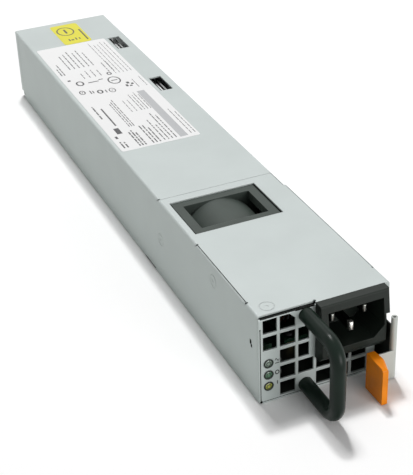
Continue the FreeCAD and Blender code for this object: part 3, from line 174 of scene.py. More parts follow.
class ShaderTree:
    """The node tree of one material or of the world."""

    def __init__(self, owner: bpy.types.Material | bpy.types.World) -> None:
        """Start an empty tree with its output.

        Args:
            owner: the material or world that the tree is part of.
        """
        self.owner = owner
        owner.use_nodes = True
        self.nodes = owner.node_tree.nodes
        self.links = owner.node_tree.links
        self.nodes.clear()
        kind = "World" if isinstance(owner, bpy.types.World) else "Material"
        self.output = self.add(f"ShaderNodeOutput{kind}")
        self._place: bpy.types.NodeSocket | None = None

    @classmethod
    def of_material(cls, name: str) -> "ShaderTree":
        """The empty tree of a new material."""
        return cls(bpy.data.materials.new(name))

    def add(self, kind: str, settings: dict | None = None, inputs: dict | None = None) -> bpy.types.Node:
        """Add a node.

        Args:
            kind: the node's type.
            settings: its properties, set first.
            inputs: a value or a link for each of its sockets.

        Returns:
            The node.
        """
        node = self.nodes.new(kind)
        for name, setting in (settings or {}).items():
            setattr(node, name, setting)
        for name, source in (inputs or {}).items():
            target = node.inputs[name]
            if isinstance(source, Value):
                self.links.new(source.socket, target)
            elif isinstance(source, bpy.types.NodeSocket):
                self.links.new(source, target)
            elif isinstance(source, tuple) and len(source) == 3 and target.type == "RGBA":
                target.default_value = (*source, 1.0)
            else:
                target.default_value = source
        return node

    def place(self) -> bpy.types.NodeSocket:
        """The shaded point.

        Returns:
            Its place in metres of the shared frame.
        """
        if self._place is None:
            self._place = self.add("ShaderNodeTexCoord").outputs["Object"]
        return self._place

    def stretched(self, scale: Stretch) -> bpy.types.NodeSocket:
        """The point on the object with each axis multiplied by a number of its own."""
        node = self.add("ShaderNodeVectorMath", {"operation": "MULTIPLY"}, {0: self.place(), 1: scale})
        return node.outputs[0]

    def along(self, axis: Axis) -> Value:
        """The point's place along one axis, in metres."""
        node = self.add("ShaderNodeSeparateXYZ", None, {0: self.place()})
        return Value(self, node.outputs[axis.value])

    def noise(self, per_metre: float, detail: float = 2.0, stretch: Stretch = (1.0, 1.0, 1.0)) -> Value:
        """Smooth noise between 0 and 1.

        Args:
            per_metre: how many cells it has to the metre.
            detail: how many finer layers lie on it.
            stretch: how many times finer it is along each axis.

        Returns:
            The noise.
        """
        node = self.add("ShaderNodeTexNoise", None, {
            "Vector": self.stretched(stretch), "Scale": per_metre, "Detail": detail, "Roughness": 0.55})
        return Value(self, node.outputs["Fac"])

    def cells(self, per_metre: float) -> Value:
        """Distance from the middle of scattered cells, for moulded grain."""
        sockets = {"Vector": self.place(), "Scale": per_metre}
        return Value(self, self.add("ShaderNodeTexVoronoi", None, sockets).outputs["Distance"])

    def edges(self, radius: float) -> Value:
        """A mask of the rims and corners of the mesh.

        Args:
            radius: how far from an edge it reaches, in metres.

        Returns:
            One along the edges and zero on the flats.
        """
        rounded = self.add("ShaderNodeBevel", {"samples": 6}, {"Radius": radius})
        flat = self.add("ShaderNodeNewGeometry")
        dot = self.add("ShaderNodeVectorMath", {"operation": "DOT_PRODUCT"}, {
            0: rounded.outputs[0], 1: flat.outputs["Normal"]})
        return (1 - Value(self, dot.outputs["Value"])).fade(0.02, 0.30)

    def background_rays(self) -> Value:
        """A mask of the rays that show the background.

        Returns:
            One for camera, glossy and transmission rays, zero for those that light the object.
        """
        rays = self.add("ShaderNodeLightPath").outputs
        shown = Value(self, rays["Is Camera Ray"])
        for kind in ("Is Glossy Ray", "Is Transmission Ray"):
            shown = shown.larger(Value(self, rays[kind]))
        return shown

    def mix(self, mask: Operand, low: Paint, high: Paint) -> bpy.types.NodeSocket:
        """A colour between two others.

        Args:
            mask: zero for the first colour and one for the second.
            low: the first colour.
            high: the second colour.

        Returns:
            The mixed colour.
        """
        node = self.add("ShaderNodeMix", {"data_type": "RGBA"}, {0: mask, 6: low, 7: high})
        return node.outputs[2]

    def relief(self, height: Value, depth: float, corner: float = 0.0) -> bpy.types.NodeSocket:
        """A normal for small relief.

        Args:
            height: the relief, 0 to 1.
            depth: its height in metres.
            corner: radius to which sharp edges look rounded, in metres.

        Returns:
            The normal.
        """
        inputs = {"Height": height, "Distance": depth, "Strength": 1.0}
        if corner:
            inputs["Normal"] = self.add("ShaderNodeBevel", {"samples": 6}, {"Radius": corner}).outputs[0]
        return self.add("ShaderNodeBump", None, inputs).outputs[0]

    def surface(self, **inputs: object) -> bpy.types.Material:
        """Finish the material with one Principled shader.

        Args:
            inputs: the shader's sockets by name, spaces written as underscores.

        Returns:
            The material.
        """
        named = {name.replace("_", " "): source for name, source in inputs.items()}
        self.show(self.add("ShaderNodeBsdfPrincipled", None, named))
        return self.owner

    def show(self, shader: bpy.types.Node) -> None:
        """Link a shader to the tree's output."""
        self.links.new(shader.outputs[0], self.output.inputs["Surface"])


# ---------------------------------------------------------------- finishes


def shaded(tint: Colour, share: float) -> Colour:
    """A tint made darker or lighter by one share."""
    return tuple(min(channel * share, 1.0) for channel in tint)


def whitened(tint: Colour, share: float) -> Colour:
    """A tint moved towards white by a share of the way."""
    return tuple(channel + (1.0 - channel) * share for channel in tint)


@dataclass(frozen=True)
class PlatedSteel:
    """Satin zinc-plated sheet: a fine rolled grain, faint clouding and edges painted lighter as a highlight.
    """

    name: str
    tint: Colour = (0.455, 0.498, 0.490)
    metal: float = 0.20
    roughness: float = 0.48
    edge_light: float = 0.30
    edge_radius: float = 0.35 * MM
    grain: Stretch = (1.0, 0.06, 1.0)
    # Axis and level past which the steel is painted near black as shade.
    painted_shade_axis: Axis | None = None
    painted_shade_from: float = 0.0

    def make(self) -> bpy.types.Material:
        """Build the material.

        Returns:
            Plated steel; past a set level along one axis it is painted near black, as painted shade on faces
            inside the case.
        """
        tree = ShaderTree.of_material(self.name)
        cloud = tree.noise(45.0, 3.0)
        grain = tree.noise(5200.0, 2.0, self.grain)
        scuffs = tree.noise(900.0, 1.0, (1.0, 0.03, 1.0)).fade(0.66, 0.80)
        rim = tree.edges(self.edge_radius)
        plain = tree.mix(cloud.fade(0.30, 0.70), shaded(self.tint, 0.98), shaded(self.tint, 1.02))
        # Painted highlight: the colour turns lighter along the mesh's edges and corners.
        colour = tree.mix(rim * 0.8, plain, whitened(self.tint, self.edge_light))
        # Painted shade: past the set level along the axis the colour turns near black, for the shade inside
        # the case.
        if self.painted_shade_axis:
            painted_shade_mask = tree.along(self.painted_shade_axis).above(self.painted_shade_from * MM)
            colour = tree.mix(painted_shade_mask, colour, (0.012, 0.016, 0.013))
        roughness = self.roughness + (grain - 0.5) * 0.08 + (cloud - 0.5) * 0.03 - scuffs * 0.04
        return tree.surface(
            Base_Color=colour, Metallic=self.metal, Roughness=roughness,
            Normal=tree.relief(grain, 0.004 * MM, self.edge_radius))


@dataclass(frozen=True)
class MouldedPlastic:
    """Moulded plastic with a sparked texture and lighter edges, partly wear from handling and partly a painted
    highlight.
    """

    name: str
    tint: Colour
    roughness: float = 0.45
    grain_per_metre: float = 3500.0
    grain_depth: float = 0.012 * MM
    edge_light: float = 0.10
    edge_radius: float = 0.3 * MM
    shine: float = 0.35
    # Axis and level short of which the plastic is painted near black as shade.
    painted_shade_axis: Axis | None = None
    painted_shade_below: float = 0.0

    def make(self) -> bpy.types.Material:
        """Build the material.

        Returns:
            Textured plastic; short of a set level along one axis it is painted near black, as painted shade.
        """
        tree = ShaderTree.of_material(self.name)
        grain = tree.cells(self.grain_per_metre)
        cloud = tree.noise(120.0, 3.0)
        rim = tree.edges(self.edge_radius)
        plain = tree.mix(cloud.fade(0.25, 0.75), shaded(self.tint, 0.86), shaded(self.tint, 1.10))
        # Lighter edges: partly wear, partly a painted highlight.
        colour = tree.mix(rim * 0.7, plain, whitened(self.tint, self.edge_light))
        # Painted shade: short of the set level along the axis the colour turns near black, for the shade
        # inside the case.
        if self.painted_shade_axis:
            painted_shade_part = tree.along(self.painted_shade_axis).below(self.painted_shade_below * MM)
            colour = tree.mix(painted_shade_part, colour, (0.004, 0.006, 0.005))
        roughness = self.roughness + (cloud - 0.5) * 0.12 - rim * 0.08
        return tree.surface(
            Base_Color=colour, Roughness=roughness, Specular_IOR_Level=self.shine,
            Normal=tree.relief(grain, self.grain_depth, self.edge_radius))


@dataclass(frozen=True)
class BareMetal:
    """Plated or drawn metal with fine draw lines and slight tarnish."""

    name: str
    tint: Colour
    roughness: float = 0.28
    lines: Stretch = (1.0, 0.05, 1.0)
    # Axis, level and reach of the painted shade that darkens the metal.
    painted_shade_axis: Axis | None = None
    painted_shade_from: float = 0.0
    painted_shade_reach: float = 2.0

    def make(self) -> bpy.types.Material:
        """Build the material.

        Returns:
            Bare metal; past a set level along one axis it fades darker over a set reach, as painted shade.
        """
        tree = ShaderTree.of_material(self.name)
        lines = tree.noise(3800.0, 2.0, self.lines)
        tarnish = tree.noise(260.0, 3.0).fade(0.45, 0.75)
        colour = tree.mix(tarnish * 0.5, self.tint, shaded(self.tint, 0.72))
        # Painted shade: past the set level along the axis the colour fades to near black.
        if self.painted_shade_axis:
            painted_shade_part = tree.along(self.painted_shade_axis).fade(
                self.painted_shade_from * MM, (self.painted_shade_from + self.painted_shade_reach) * MM)
            colour = tree.mix(painted_shade_part, colour, (0.05, 0.055, 0.05))
        return tree.surface(
            Base_Color=colour, Metallic=1.0,
            Roughness=self.roughness + (lines - 0.5) * 0.12 + tarnish * 0.12,
            Normal=tree.relief(lines, 0.003 * MM, 0.1 * MM))


@dataclass(frozen=True)
class LabelPaper:
    """Printed film: even colour with a faint tooth."""

    name: str
    tint: Colour
    roughness: float = 0.42

    def make(self) -> bpy.types.Material:
        """Build the material.

        Returns:
            Film with a faint tooth.
        """
        tree = ShaderTree.of_material(self.name)
        tooth = tree.noise(7000.0, 1.0)
        cloud = tree.noise(60.0, 2.0)
        return tree.surface(
            Base_Color=tree.mix(cloud, shaded(self.tint, 0.975), self.tint),
            Roughness=self.roughness + (tooth - 0.5) * 0.1, Normal=tree.relief(tooth, 0.002 * MM))


@dataclass(frozen=True)
class PrintedInk:
    """Ink that lies thinner in places."""

    name: str
    tint: Colour
    roughness: float = 0.5

    def make(self) -> bpy.types.Material:
        """Build the material.

        Returns:
            Ink with thin patches.
        """
        tree = ShaderTree.of_material(self.name)
        patch = tree.noise(2600.0, 2.0).fade(0.35, 0.8)
        return tree.surface(
            Base_Color=tree.mix(patch, self.tint, whitened(self.tint, 0.10)),
            Roughness=self.roughness + patch * 0.1)


@dataclass(frozen=True)
class Lens:
    """Clear tinted plastic over a pale lamp, lighter in random patches."""

    name: str
    tint: Colour
    ripple: float = 0.01 * MM

    def make(self) -> bpy.types.Material:
        """Build the material.

        Returns:
            Clear tinted plastic.
        """
        tree = ShaderTree.of_material(self.name)
        depth = tree.noise(900.0, 1.0)
        light = tuple(min(channel * 1.35 + 0.03, 1.0) for channel in self.tint)
        return tree.surface(
            Base_Color=tree.mix(depth.fade(0.3, 0.7), self.tint, light), Roughness=0.12 + depth * 0.08,
            Coat_Weight=0.6, Normal=tree.relief(depth, self.ripple))


@dataclass(frozen=True)
class CanSleeve:
    """Shrunk sleeve of a capacitor: glossy, faintly wrinkled and paler at its rims."""

    name: str
    tint: Colour

    def make(self) -> bpy.types.Material:
        """Build the material.

        Returns:
            Glossy wrinkled film.
        """
        tree = ShaderTree.of_material(self.name)
        wrinkle = tree.noise(1400.0, 2.0, (1.0, 0.2, 1.0))
        rim = tree.edges(0.25 * MM)
        pale = tuple(0.3 + channel for channel in self.tint)
        colour = tree.mix(rim * 0.5, self.tint, pale)
        return tree.surface(
            Base_Color=colour, Roughness=0.24 + (wrinkle - 0.5) * 0.1, Coat_Weight=0.3,
            Normal=tree.relief(wrinkle, 0.01 * MM))


# ---------------------------------------------------------------- building pieces


@dataclass
class Shape:
    """A mesh in the making, in millimetres of the shared frame."""

    name: str
    mesh: bmesh.types.BMesh = field(default_factory=bmesh.new)

    def corner(self, x: float, y: float, z: float) -> bmesh.types.BMVert:
        """One corner of the mesh."""
        return self.mesh.verts.new((x * MM, y * MM, z * MM))

    def band(self, first: list[bmesh.types.BMVert], second: list[bmesh.types.BMVert]) -> None:
        """Join two rings of equally many corners with faces.

        Args:
            first: the first ring.
            second: the second ring.
        """
        for step in range(len(first)):
            following = (step + 1) % len(first)
            self.mesh.faces.new([first[step], first[following], second[following], second[step]])

    def box(self, low: Point, high: Point, rounding: float = 0.0, steps: int = 2) -> None:
        """Add a block, its edges rounded if asked.

        Args:
            low: its lowest corner.
            high: its highest corner.
            rounding: radius of its edges.
            steps: how many strips make each rounding.
        """
        middle = [(a + b) / 2 * MM for a, b in zip(low, high)]
        spread = [(b - a) * MM for a, b in zip(low, high)]
        turn = Matrix.Translation(middle) @ Matrix.Diagonal((*spread, 1.0))
        made = bmesh.ops.create_cube(self.mesh, size=1.0, matrix=turn)
        if rounding:
            edges = list({edge for vert in made["verts"] for edge in vert.link_edges})
            bmesh.ops.bevel(self.mesh, geom=edges, offset=rounding * MM, segments=steps,
                            profile=0.5, affect="EDGES")

    def turned(self, axis: Axis, centre: Point, profile: Outline, steps: int = 40) -> None:
        """Add a turned piece.

        Args:
            axis: the axis that it is turned about.
            centre: a point of that axis.
            profile: distance along the axis and radius of each ring, in order; a radius of zero closes it.
            steps: how many corners each ring has.
        """
        middle = Vector(centre)
        rings = []
        for along, radius in profile:
            count = 1 if radius == 0 else steps
            rings.append([
                self.mesh.verts.new((middle + axis.place(along, radius, math.tau * step / steps)) * MM)
                for step in range(count)])
        for lower, upper in zip(rings, rings[1:]):
            for step in range(steps):
                following = (step + 1) % steps
                corners = [lower[step % len(lower)], lower[following % len(lower)],
                           upper[following % len(upper)], upper[step % len(upper)]]
                unique = list(dict.fromkeys(corners))
                if len(unique) > 2:
                    self.mesh.faces.new(unique)

    def patch(self, x: float, y: float, across: float, along: float, low: float, high: float) -> None:
        """Add a level block by its middle.

        Args:
            x: its middle across the case.
            y: its middle along the case.
            across: its width.
            along: its length.
            low: height of its lower face.
            high: height of its upper face.
        """
        self.box((x - across / 2, y - along / 2, low), (x + across / 2, y + along / 2, high))

    def slab(self, outline: Outline, low: float, high: float) -> None:
        """Add a flat slab with a convex outline.

        Args:
            outline: its corners, x and y.
            low: height of its lower face.
            high: height of its upper face.
        """
        lower = [self.corner(x, y, low) for x, y in outline]
        upper = [self.corner(x, y, high) for x, y in outline]
        self.mesh.faces.new(upper)
        self.mesh.faces.new(list(reversed(lower)))
        self.band(lower, upper)

    def ribbon(self, points: Outline, width: float, low: float, high: float) -> None:
        """Add a closed printed line of even width that lies on a level plane.

        Args:
            points: the line's points, x and y.
            width: its width.
            low: height of its lower face.
            high: height of its upper face.
        """
        path = [Vector(point) for point in points]
        rows = []
        for step, place in enumerate(path):
            along = path[(step + 1) % len(path)] - path[step - 1]
            across = along.normalized().orthogonal() * width / 2
            near, far = place + across, place - across
            rows.append([self.corner(near.x, near.y, low), self.corner(far.x, far.y, low),
                         self.corner(far.x, far.y, high), self.corner(near.x, near.y, high)])
        for first, second in zip(rows, rows[1:] + rows[:1]):
            self.band(first, second)

    def wire(self, points: list[Vector], radius: float, sides: int) -> None:
        """Add a round wire that runs along points and back to the first.

        Args:
            points: the wire's middle line.
            radius: the wire's radius.
            sides: how many corners its section has.
        """
        turns = [math.tau * corner / sides for corner in range(sides)]
        normal = Vector((0.0, 0.0, 1.0))
        rings = []
        for step, place in enumerate(points):
            along = (points[(step + 1) % len(points)] - points[step - 1]).normalized()
            normal = normal - along * normal.dot(along)
            normal = normal.normalized() if normal.length > 1e-6 else along.orthogonal().normalized()
            side = along.cross(normal)
            rings.append([
                self.mesh.verts.new((place + (normal * math.cos(turn) + side * math.sin(turn)) * radius) * MM)
                for turn in turns])
        for first, second in zip(rings, rings[1:]):
            self.band(first, second)
        last = rings[-1][0].co
        shift = min(range(sides), key=lambda corner: (rings[0][corner].co - last).length)
        self.band(rings[-1], rings[0][shift:] + rings[0][:shift])

    def finish(self, material: bpy.types.Material, slot: str, body: str = "root",
               replaced: tuple[str, ...] = ()) -> bpy.types.Object:
        """Turn the mesh into a piece of the model.

        Args:
            material: its material.
            slot: the record's material slot that it stands for; not used.
            body: the body that it rides on.
            replaced: the CAD nodes that it stands for.

        Returns:
            The piece.
        """
        bmesh.ops.recalc_face_normals(self.mesh, faces=self.mesh.faces)
        data = bpy.data.meshes.new(self.name)
        self.mesh.to_mesh(data)
        self.mesh.free()
        data.shade_smooth()
        data.set_sharp_from_angle(angle=math.radians(38.0))
        data.materials.append(material)
        piece = bpy.data.objects.new(self.name, data)
        bpy.context.collection.objects.link(piece)
        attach(piece, body)
        if replaced:
            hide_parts(*replaced)
        LOG.info("%s: %d faces on %s", self.name, len(data.polygons), body)
        return piece


def node_box(node: str) -> tuple[Vector, Vector]:
    """Lowest and highest corner of a CAD node, in millimetres."""
    low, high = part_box(node)
    return Vector(low) / MM, Vector(high) / MM


# ---------------------------------------------------------------- studio


@dataclass(frozen=True)
class Lamp:
    """One square soft light that faces the object: place and side in metres, power in watts."""

    name: str
    place: Point
    side: float
    power: float

    def hang(self) -> None:
        """Put the lamp in the scene."""
        data = bpy.data.lights.new(self.name, "AREA")
        data.shape = "SQUARE"
        data.size = self.side
        data.energy = self.power
        lamp = bpy.data.objects.new(self.name, data)
        lamp.location = self.place
        lamp.rotation_mode = "QUATERNION"
        lamp.rotation_quaternion = (-Vector(self.place)).to_track_quat("-Z", "Y")
        bpy.context.collection.objects.link(lamp)


@dataclass
class Studio:
    """Camera, floor and soft lights round the object, in metres and degrees."""

    camera_place: Point = (-0.1796, -0.48405, 0.2912)
    azimuth: float = -22.43
    elevation: float = 31.15
    roll: float = -2.48
    lens: float = 90.8
    floor_half: float = 3.0
    floor_drop: float = 0.02 * MM
    white_from: float = 0.35
    white_full: float = 0.80
    ambient: float = 0.27
    lamps: tuple[Lamp, ...] = (
        Lamp("key_lamp", (0.18, 0.54, 1.62), 0.12, 9.3),
        Lamp("overhead_lamp", (0.06, 0.55, 1.74), 0.35, 15.2),
        Lamp("front_lamp", (0.45, -1.60, 0.30), 0.8, 14.5),
    )

    def make_camera(self) -> None:
        """Set the scene's camera on the object."""
        azimuth, elevation, roll = map(math.radians, (self.azimuth, self.elevation, self.roll))
        back = Vector((
            math.sin(azimuth) * math.cos(elevation), -math.cos(azimuth) * math.cos(elevation),
            math.sin(elevation)))
        right = (-back).cross(Vector((0, 0, 1))).normalized()
        up = right.cross(-back)
        turned_right = right * math.cos(roll) + up * math.sin(roll)
        turned_up = up * math.cos(roll) - right * math.sin(roll)
        data = bpy.data.cameras.new("camera")
        data.lens = self.lens
        data.clip_start = 0.01
        camera = bpy.data.objects.new("camera", data)
        turn = Matrix((turned_right, turned_up, back)).transposed().to_4x4()
        camera.matrix_world = Matrix.Translation(self.camera_place) @ turn
        bpy.context.collection.objects.link(camera)
        bpy.context.scene.camera = camera

    def make_floor(self) -> None:
        """Lay a pale floor that keeps the object's shadow and shows plain white far from it."""
        mesh = bpy.data.meshes.new("floor")
        reach = self.floor_half
        mesh.from_pydata([(-reach, -reach, 0), (reach, -reach, 0), (reach, reach, 0), (-reach, reach, 0)],
                         [], [(0, 1, 2, 3)])
        floor = bpy.data.objects.new("floor", mesh)
        floor.location.z = -self.floor_drop
        bpy.context.collection.objects.link(floor)
        tree = ShaderTree.of_material("floor_paper")
        felt = tree.mix(tree.noise(60.0, 3.0), (0.80, 0.84, 0.80), (0.82, 0.86, 0.82))
        shown = tree.background_rays()
        distance = tree.add("ShaderNodeVectorMath", {"operation": "LENGTH"}, {0: tree.place()})
        far = Value(tree, distance.outputs["Value"]).fade(self.white_from, self.white_full)
        mesh.materials.append(tree.surface(
            Base_Color=tree.mix(shown, felt, (0.97, 0.97, 0.97)), Roughness=0.9, Specular_IOR_Level=0.0,
            Emission_Color=tree.mix(shown * far, (0.0, 0.0, 0.0), (1.0, 1.0, 1.0)), Emission_Strength=1.0))

    def make_world(self) -> None:
        """Surround the object with even dim light that shows as white."""
        world = bpy.data.worlds.new("studio")
        bpy.context.scene.world = world
        tree = ShaderTree(world)
        light = tree.mix(tree.background_rays(), (self.ambient,) * 3, (1.0, 1.0, 1.0))
        tree.show(tree.add("ShaderNodeBackground", None, {"Color": light, "Strength": 1.0}))

    def build(self) -> None:
        """Make everything that isn't the object."""
        self.make_camera()
        self.make_floor()
        self.make_world()
        for lamp in self.lamps:
            lamp.hang()
        bpy.context.scene.view_settings.view_transform = "Standard"


# ---------------------------------------------------------------- carried-over nodes


class CarriedFinishes:
    """The finish of each CAD node that is shown as it is; some get painted shade on their inner faces."""

    # Levels in millimetres that set where each node's finish is painted near black as shade.
    floor_inside: float = 0.75
    panel_inside: float = 0.9
    latch_root: float = 6.1
    fan_front: float = 0.4

    case = PlatedSteel("case_zinc")
    spring = PlatedSteel("spring_zinc", tint=(0.60, 0.63, 0.61), roughness=0.36)
    screw = BareMetal("screw_zinc", (0.62, 0.63, 0.64))
    inlet = MouldedPlastic("inlet_black", (0.008, 0.012, 0.009), roughness=0.50, edge_light=0.03, shine=0.22)
    grip = MouldedPlastic("grip_black", (0.006, 0.013, 0.009), roughness=0.33, grain_depth=0.003 * MM,
                          edge_light=0.02, shine=0.14)
    orange = MouldedPlastic("tab_orange", (0.78, 0.22, 0.001), roughness=0.38, edge_light=0.02, shine=0.2)
    fan = MouldedPlastic("fan_grey", (0.038, 0.050, 0.043), roughness=0.55, edge_light=0.03, shine=0.3)
    # Painted shade: the laminate is painted near black green, for the shade inside the case.
    card = MouldedPlastic("laminate_green", (0.006, 0.034, 0.015), roughness=0.35, shine=0.3)
    black = MouldedPlastic("package_black", (0.012, 0.014, 0.013), roughness=0.5, shine=0.25)
    sleeve = MouldedPlastic("sleeve_dark", (0.02, 0.02, 0.03), roughness=0.25)
    boxed = MouldedPlastic("box_yellow", (0.62, 0.42, 0.06), roughness=0.4)
    core = MouldedPlastic("ferrite_grey", (0.06, 0.06, 0.065), roughness=0.6)
    tape = MouldedPlastic("winding_tape", (0.65, 0.5, 0.08), roughness=0.35)
    nickel = BareMetal("nickel", (0.80, 0.78, 0.72))
    gold = BareMetal("gold", (0.86, 0.62, 0.24), roughness=0.2)
    copper = BareMetal("copper_wire", (0.72, 0.36, 0.18))
    fins = BareMetal("fin_aluminium", (0.75, 0.76, 0.76), roughness=0.4)
    brass = BareMetal("brass", (0.78, 0.62, 0.32))
    paper = MouldedPlastic("label_paper", (0.86, 0.86, 0.87), roughness=0.5)
    yellow = MouldedPlastic("label_yellow", (0.82, 0.80, 0.02), roughness=0.4)
    green_lens = MouldedPlastic("lens_green", (0.25, 0.5, 0.28), roughness=0.2)
    amber_lens = MouldedPlastic("lens_amber", (0.55, 0.55, 0.08), roughness=0.2)

    by_slot = {
        "case_steel": case, "screw_steel": screw, "spring_steel": spring, "inlet_plastic": inlet,
        "handle_plastic": grip, "tab_plastic": orange, "fan_plastic": fan, "nickel": nickel,
        "gold": gold, "copper": copper, "laminate": card, "film_plastic": black,
        "can_sleeve": sleeve, "box_plastic": boxed, "package_plastic": black, "ferrite": core,
        "winding_tape": tape, "aluminium": fins, "brass_fitting": brass, "label_white": paper,
        "label_yellow": yellow, "lamp_green": green_lens, "lamp_amber": amber_lens,
    }

    def masked(self) -> dict[str, PlatedSteel | MouldedPlastic]:
        """The finishes of the nodes whose inner faces get painted shade.

        Returns:
            The finish of each of these nodes by its name.
        """
        cover = node_box("top_cover")[0].y
        fan_face = node_box("fan_frame")[0].y
        # Painted shade: the chassis floor's inside, the panel behind its face, the latch arm behind its barrel
        # and the fan frame's front face turn near black.
        return {
            "chassis": PlatedSteel("floor_zinc", painted_shade_axis=Axis.Z, painted_shade_from=self.floor_inside),
            "front_panel": PlatedSteel("panel_zinc", painted_shade_axis=Axis.Y, painted_shade_from=cover + self.panel_inside),
            "latch_spring": PlatedSteel("spring_zinc", tint=(0.46, 0.48, 0.455), roughness=0.42,
                                        painted_shade_axis=Axis.Y, painted_shade_from=cover - self.latch_root),
            "fan_frame": MouldedPlastic("fan_frame_grey", self.fan.tint, roughness=0.55, edge_light=0.03,
                                        shine=0.3, painted_shade_axis=Axis.Y, painted_shade_below=fan_face + self.fan_front),
        }

    def dress(self) -> None:
        """Give every CAD node the finish of its slot, or its own."""
        of_node = self.masked()
        slots = {part["node"]: part["material_slot"] for part in frame["record"]["subparts"]}
        made = {}
        for name, piece in frame["nodes"].items():
            finish = of_node.get(name, self.by_slot[slots[name]])
            if finish.name not in made:
                made[finish.name] = finish.make()
            piece.data.materials.clear()
            piece.data.materials.append(made[finish.name])
            LOG.info("%s: %s", name, finish.name)


# ---------------------------------------------------------------- printed labels


def rounded_outline(low: Vector, high: Vector, corner: float, steps: int = 4) -> Outline:
    """Outline of a rectangle with round corners.

    Args:
        low: its lowest corner.
        high: its highest corner.
        corner: radius of its corners.
        steps: how many strips round each corner.

    Returns:
        The outline's points.
    """
    corners = ((high.x, high.y, 0.0), (low.x, high.y, 0.25), (low.x, low.y, 0.5), (high.x, low.y, 0.75))
    outline = []
    for x, y, start in corners:
        inward_x = -corner if x == high.x else corner
        inward_y = -corner if y == high.y else corner
        for step in range(steps + 1):
            angle = math.tau * (start + 0.25 * step / steps)
            outline.append((x + inward_x + corner * math.cos(angle),
                            y + inward_y + corner * math.sin(angle)))
    return outline


def oval(x: float, y: float, across: float, along: float, steps: int = 28) -> Outline:
    """Points of an oval.

    Args:
        x: its middle across the case.
        y: its middle along the case.
        across: half its width.
        along: half its length.
        steps: how many points it has.

    Returns:
        The points, each once.
    """
    turns = [math.tau * step / steps for step in range(steps)]
    return [(x + across * math.cos(turn), y + along * math.sin(turn)) for turn in turns]


@dataclass(frozen=True)
class InkLines:
    """A group of printed lines that run along the case, broken into word-long dashes."""

    left: float
    right: float
    front: float
    rear: float
    count: int
    width: float = 0.28
    raggedness: float = 0.25
    solid: bool = False


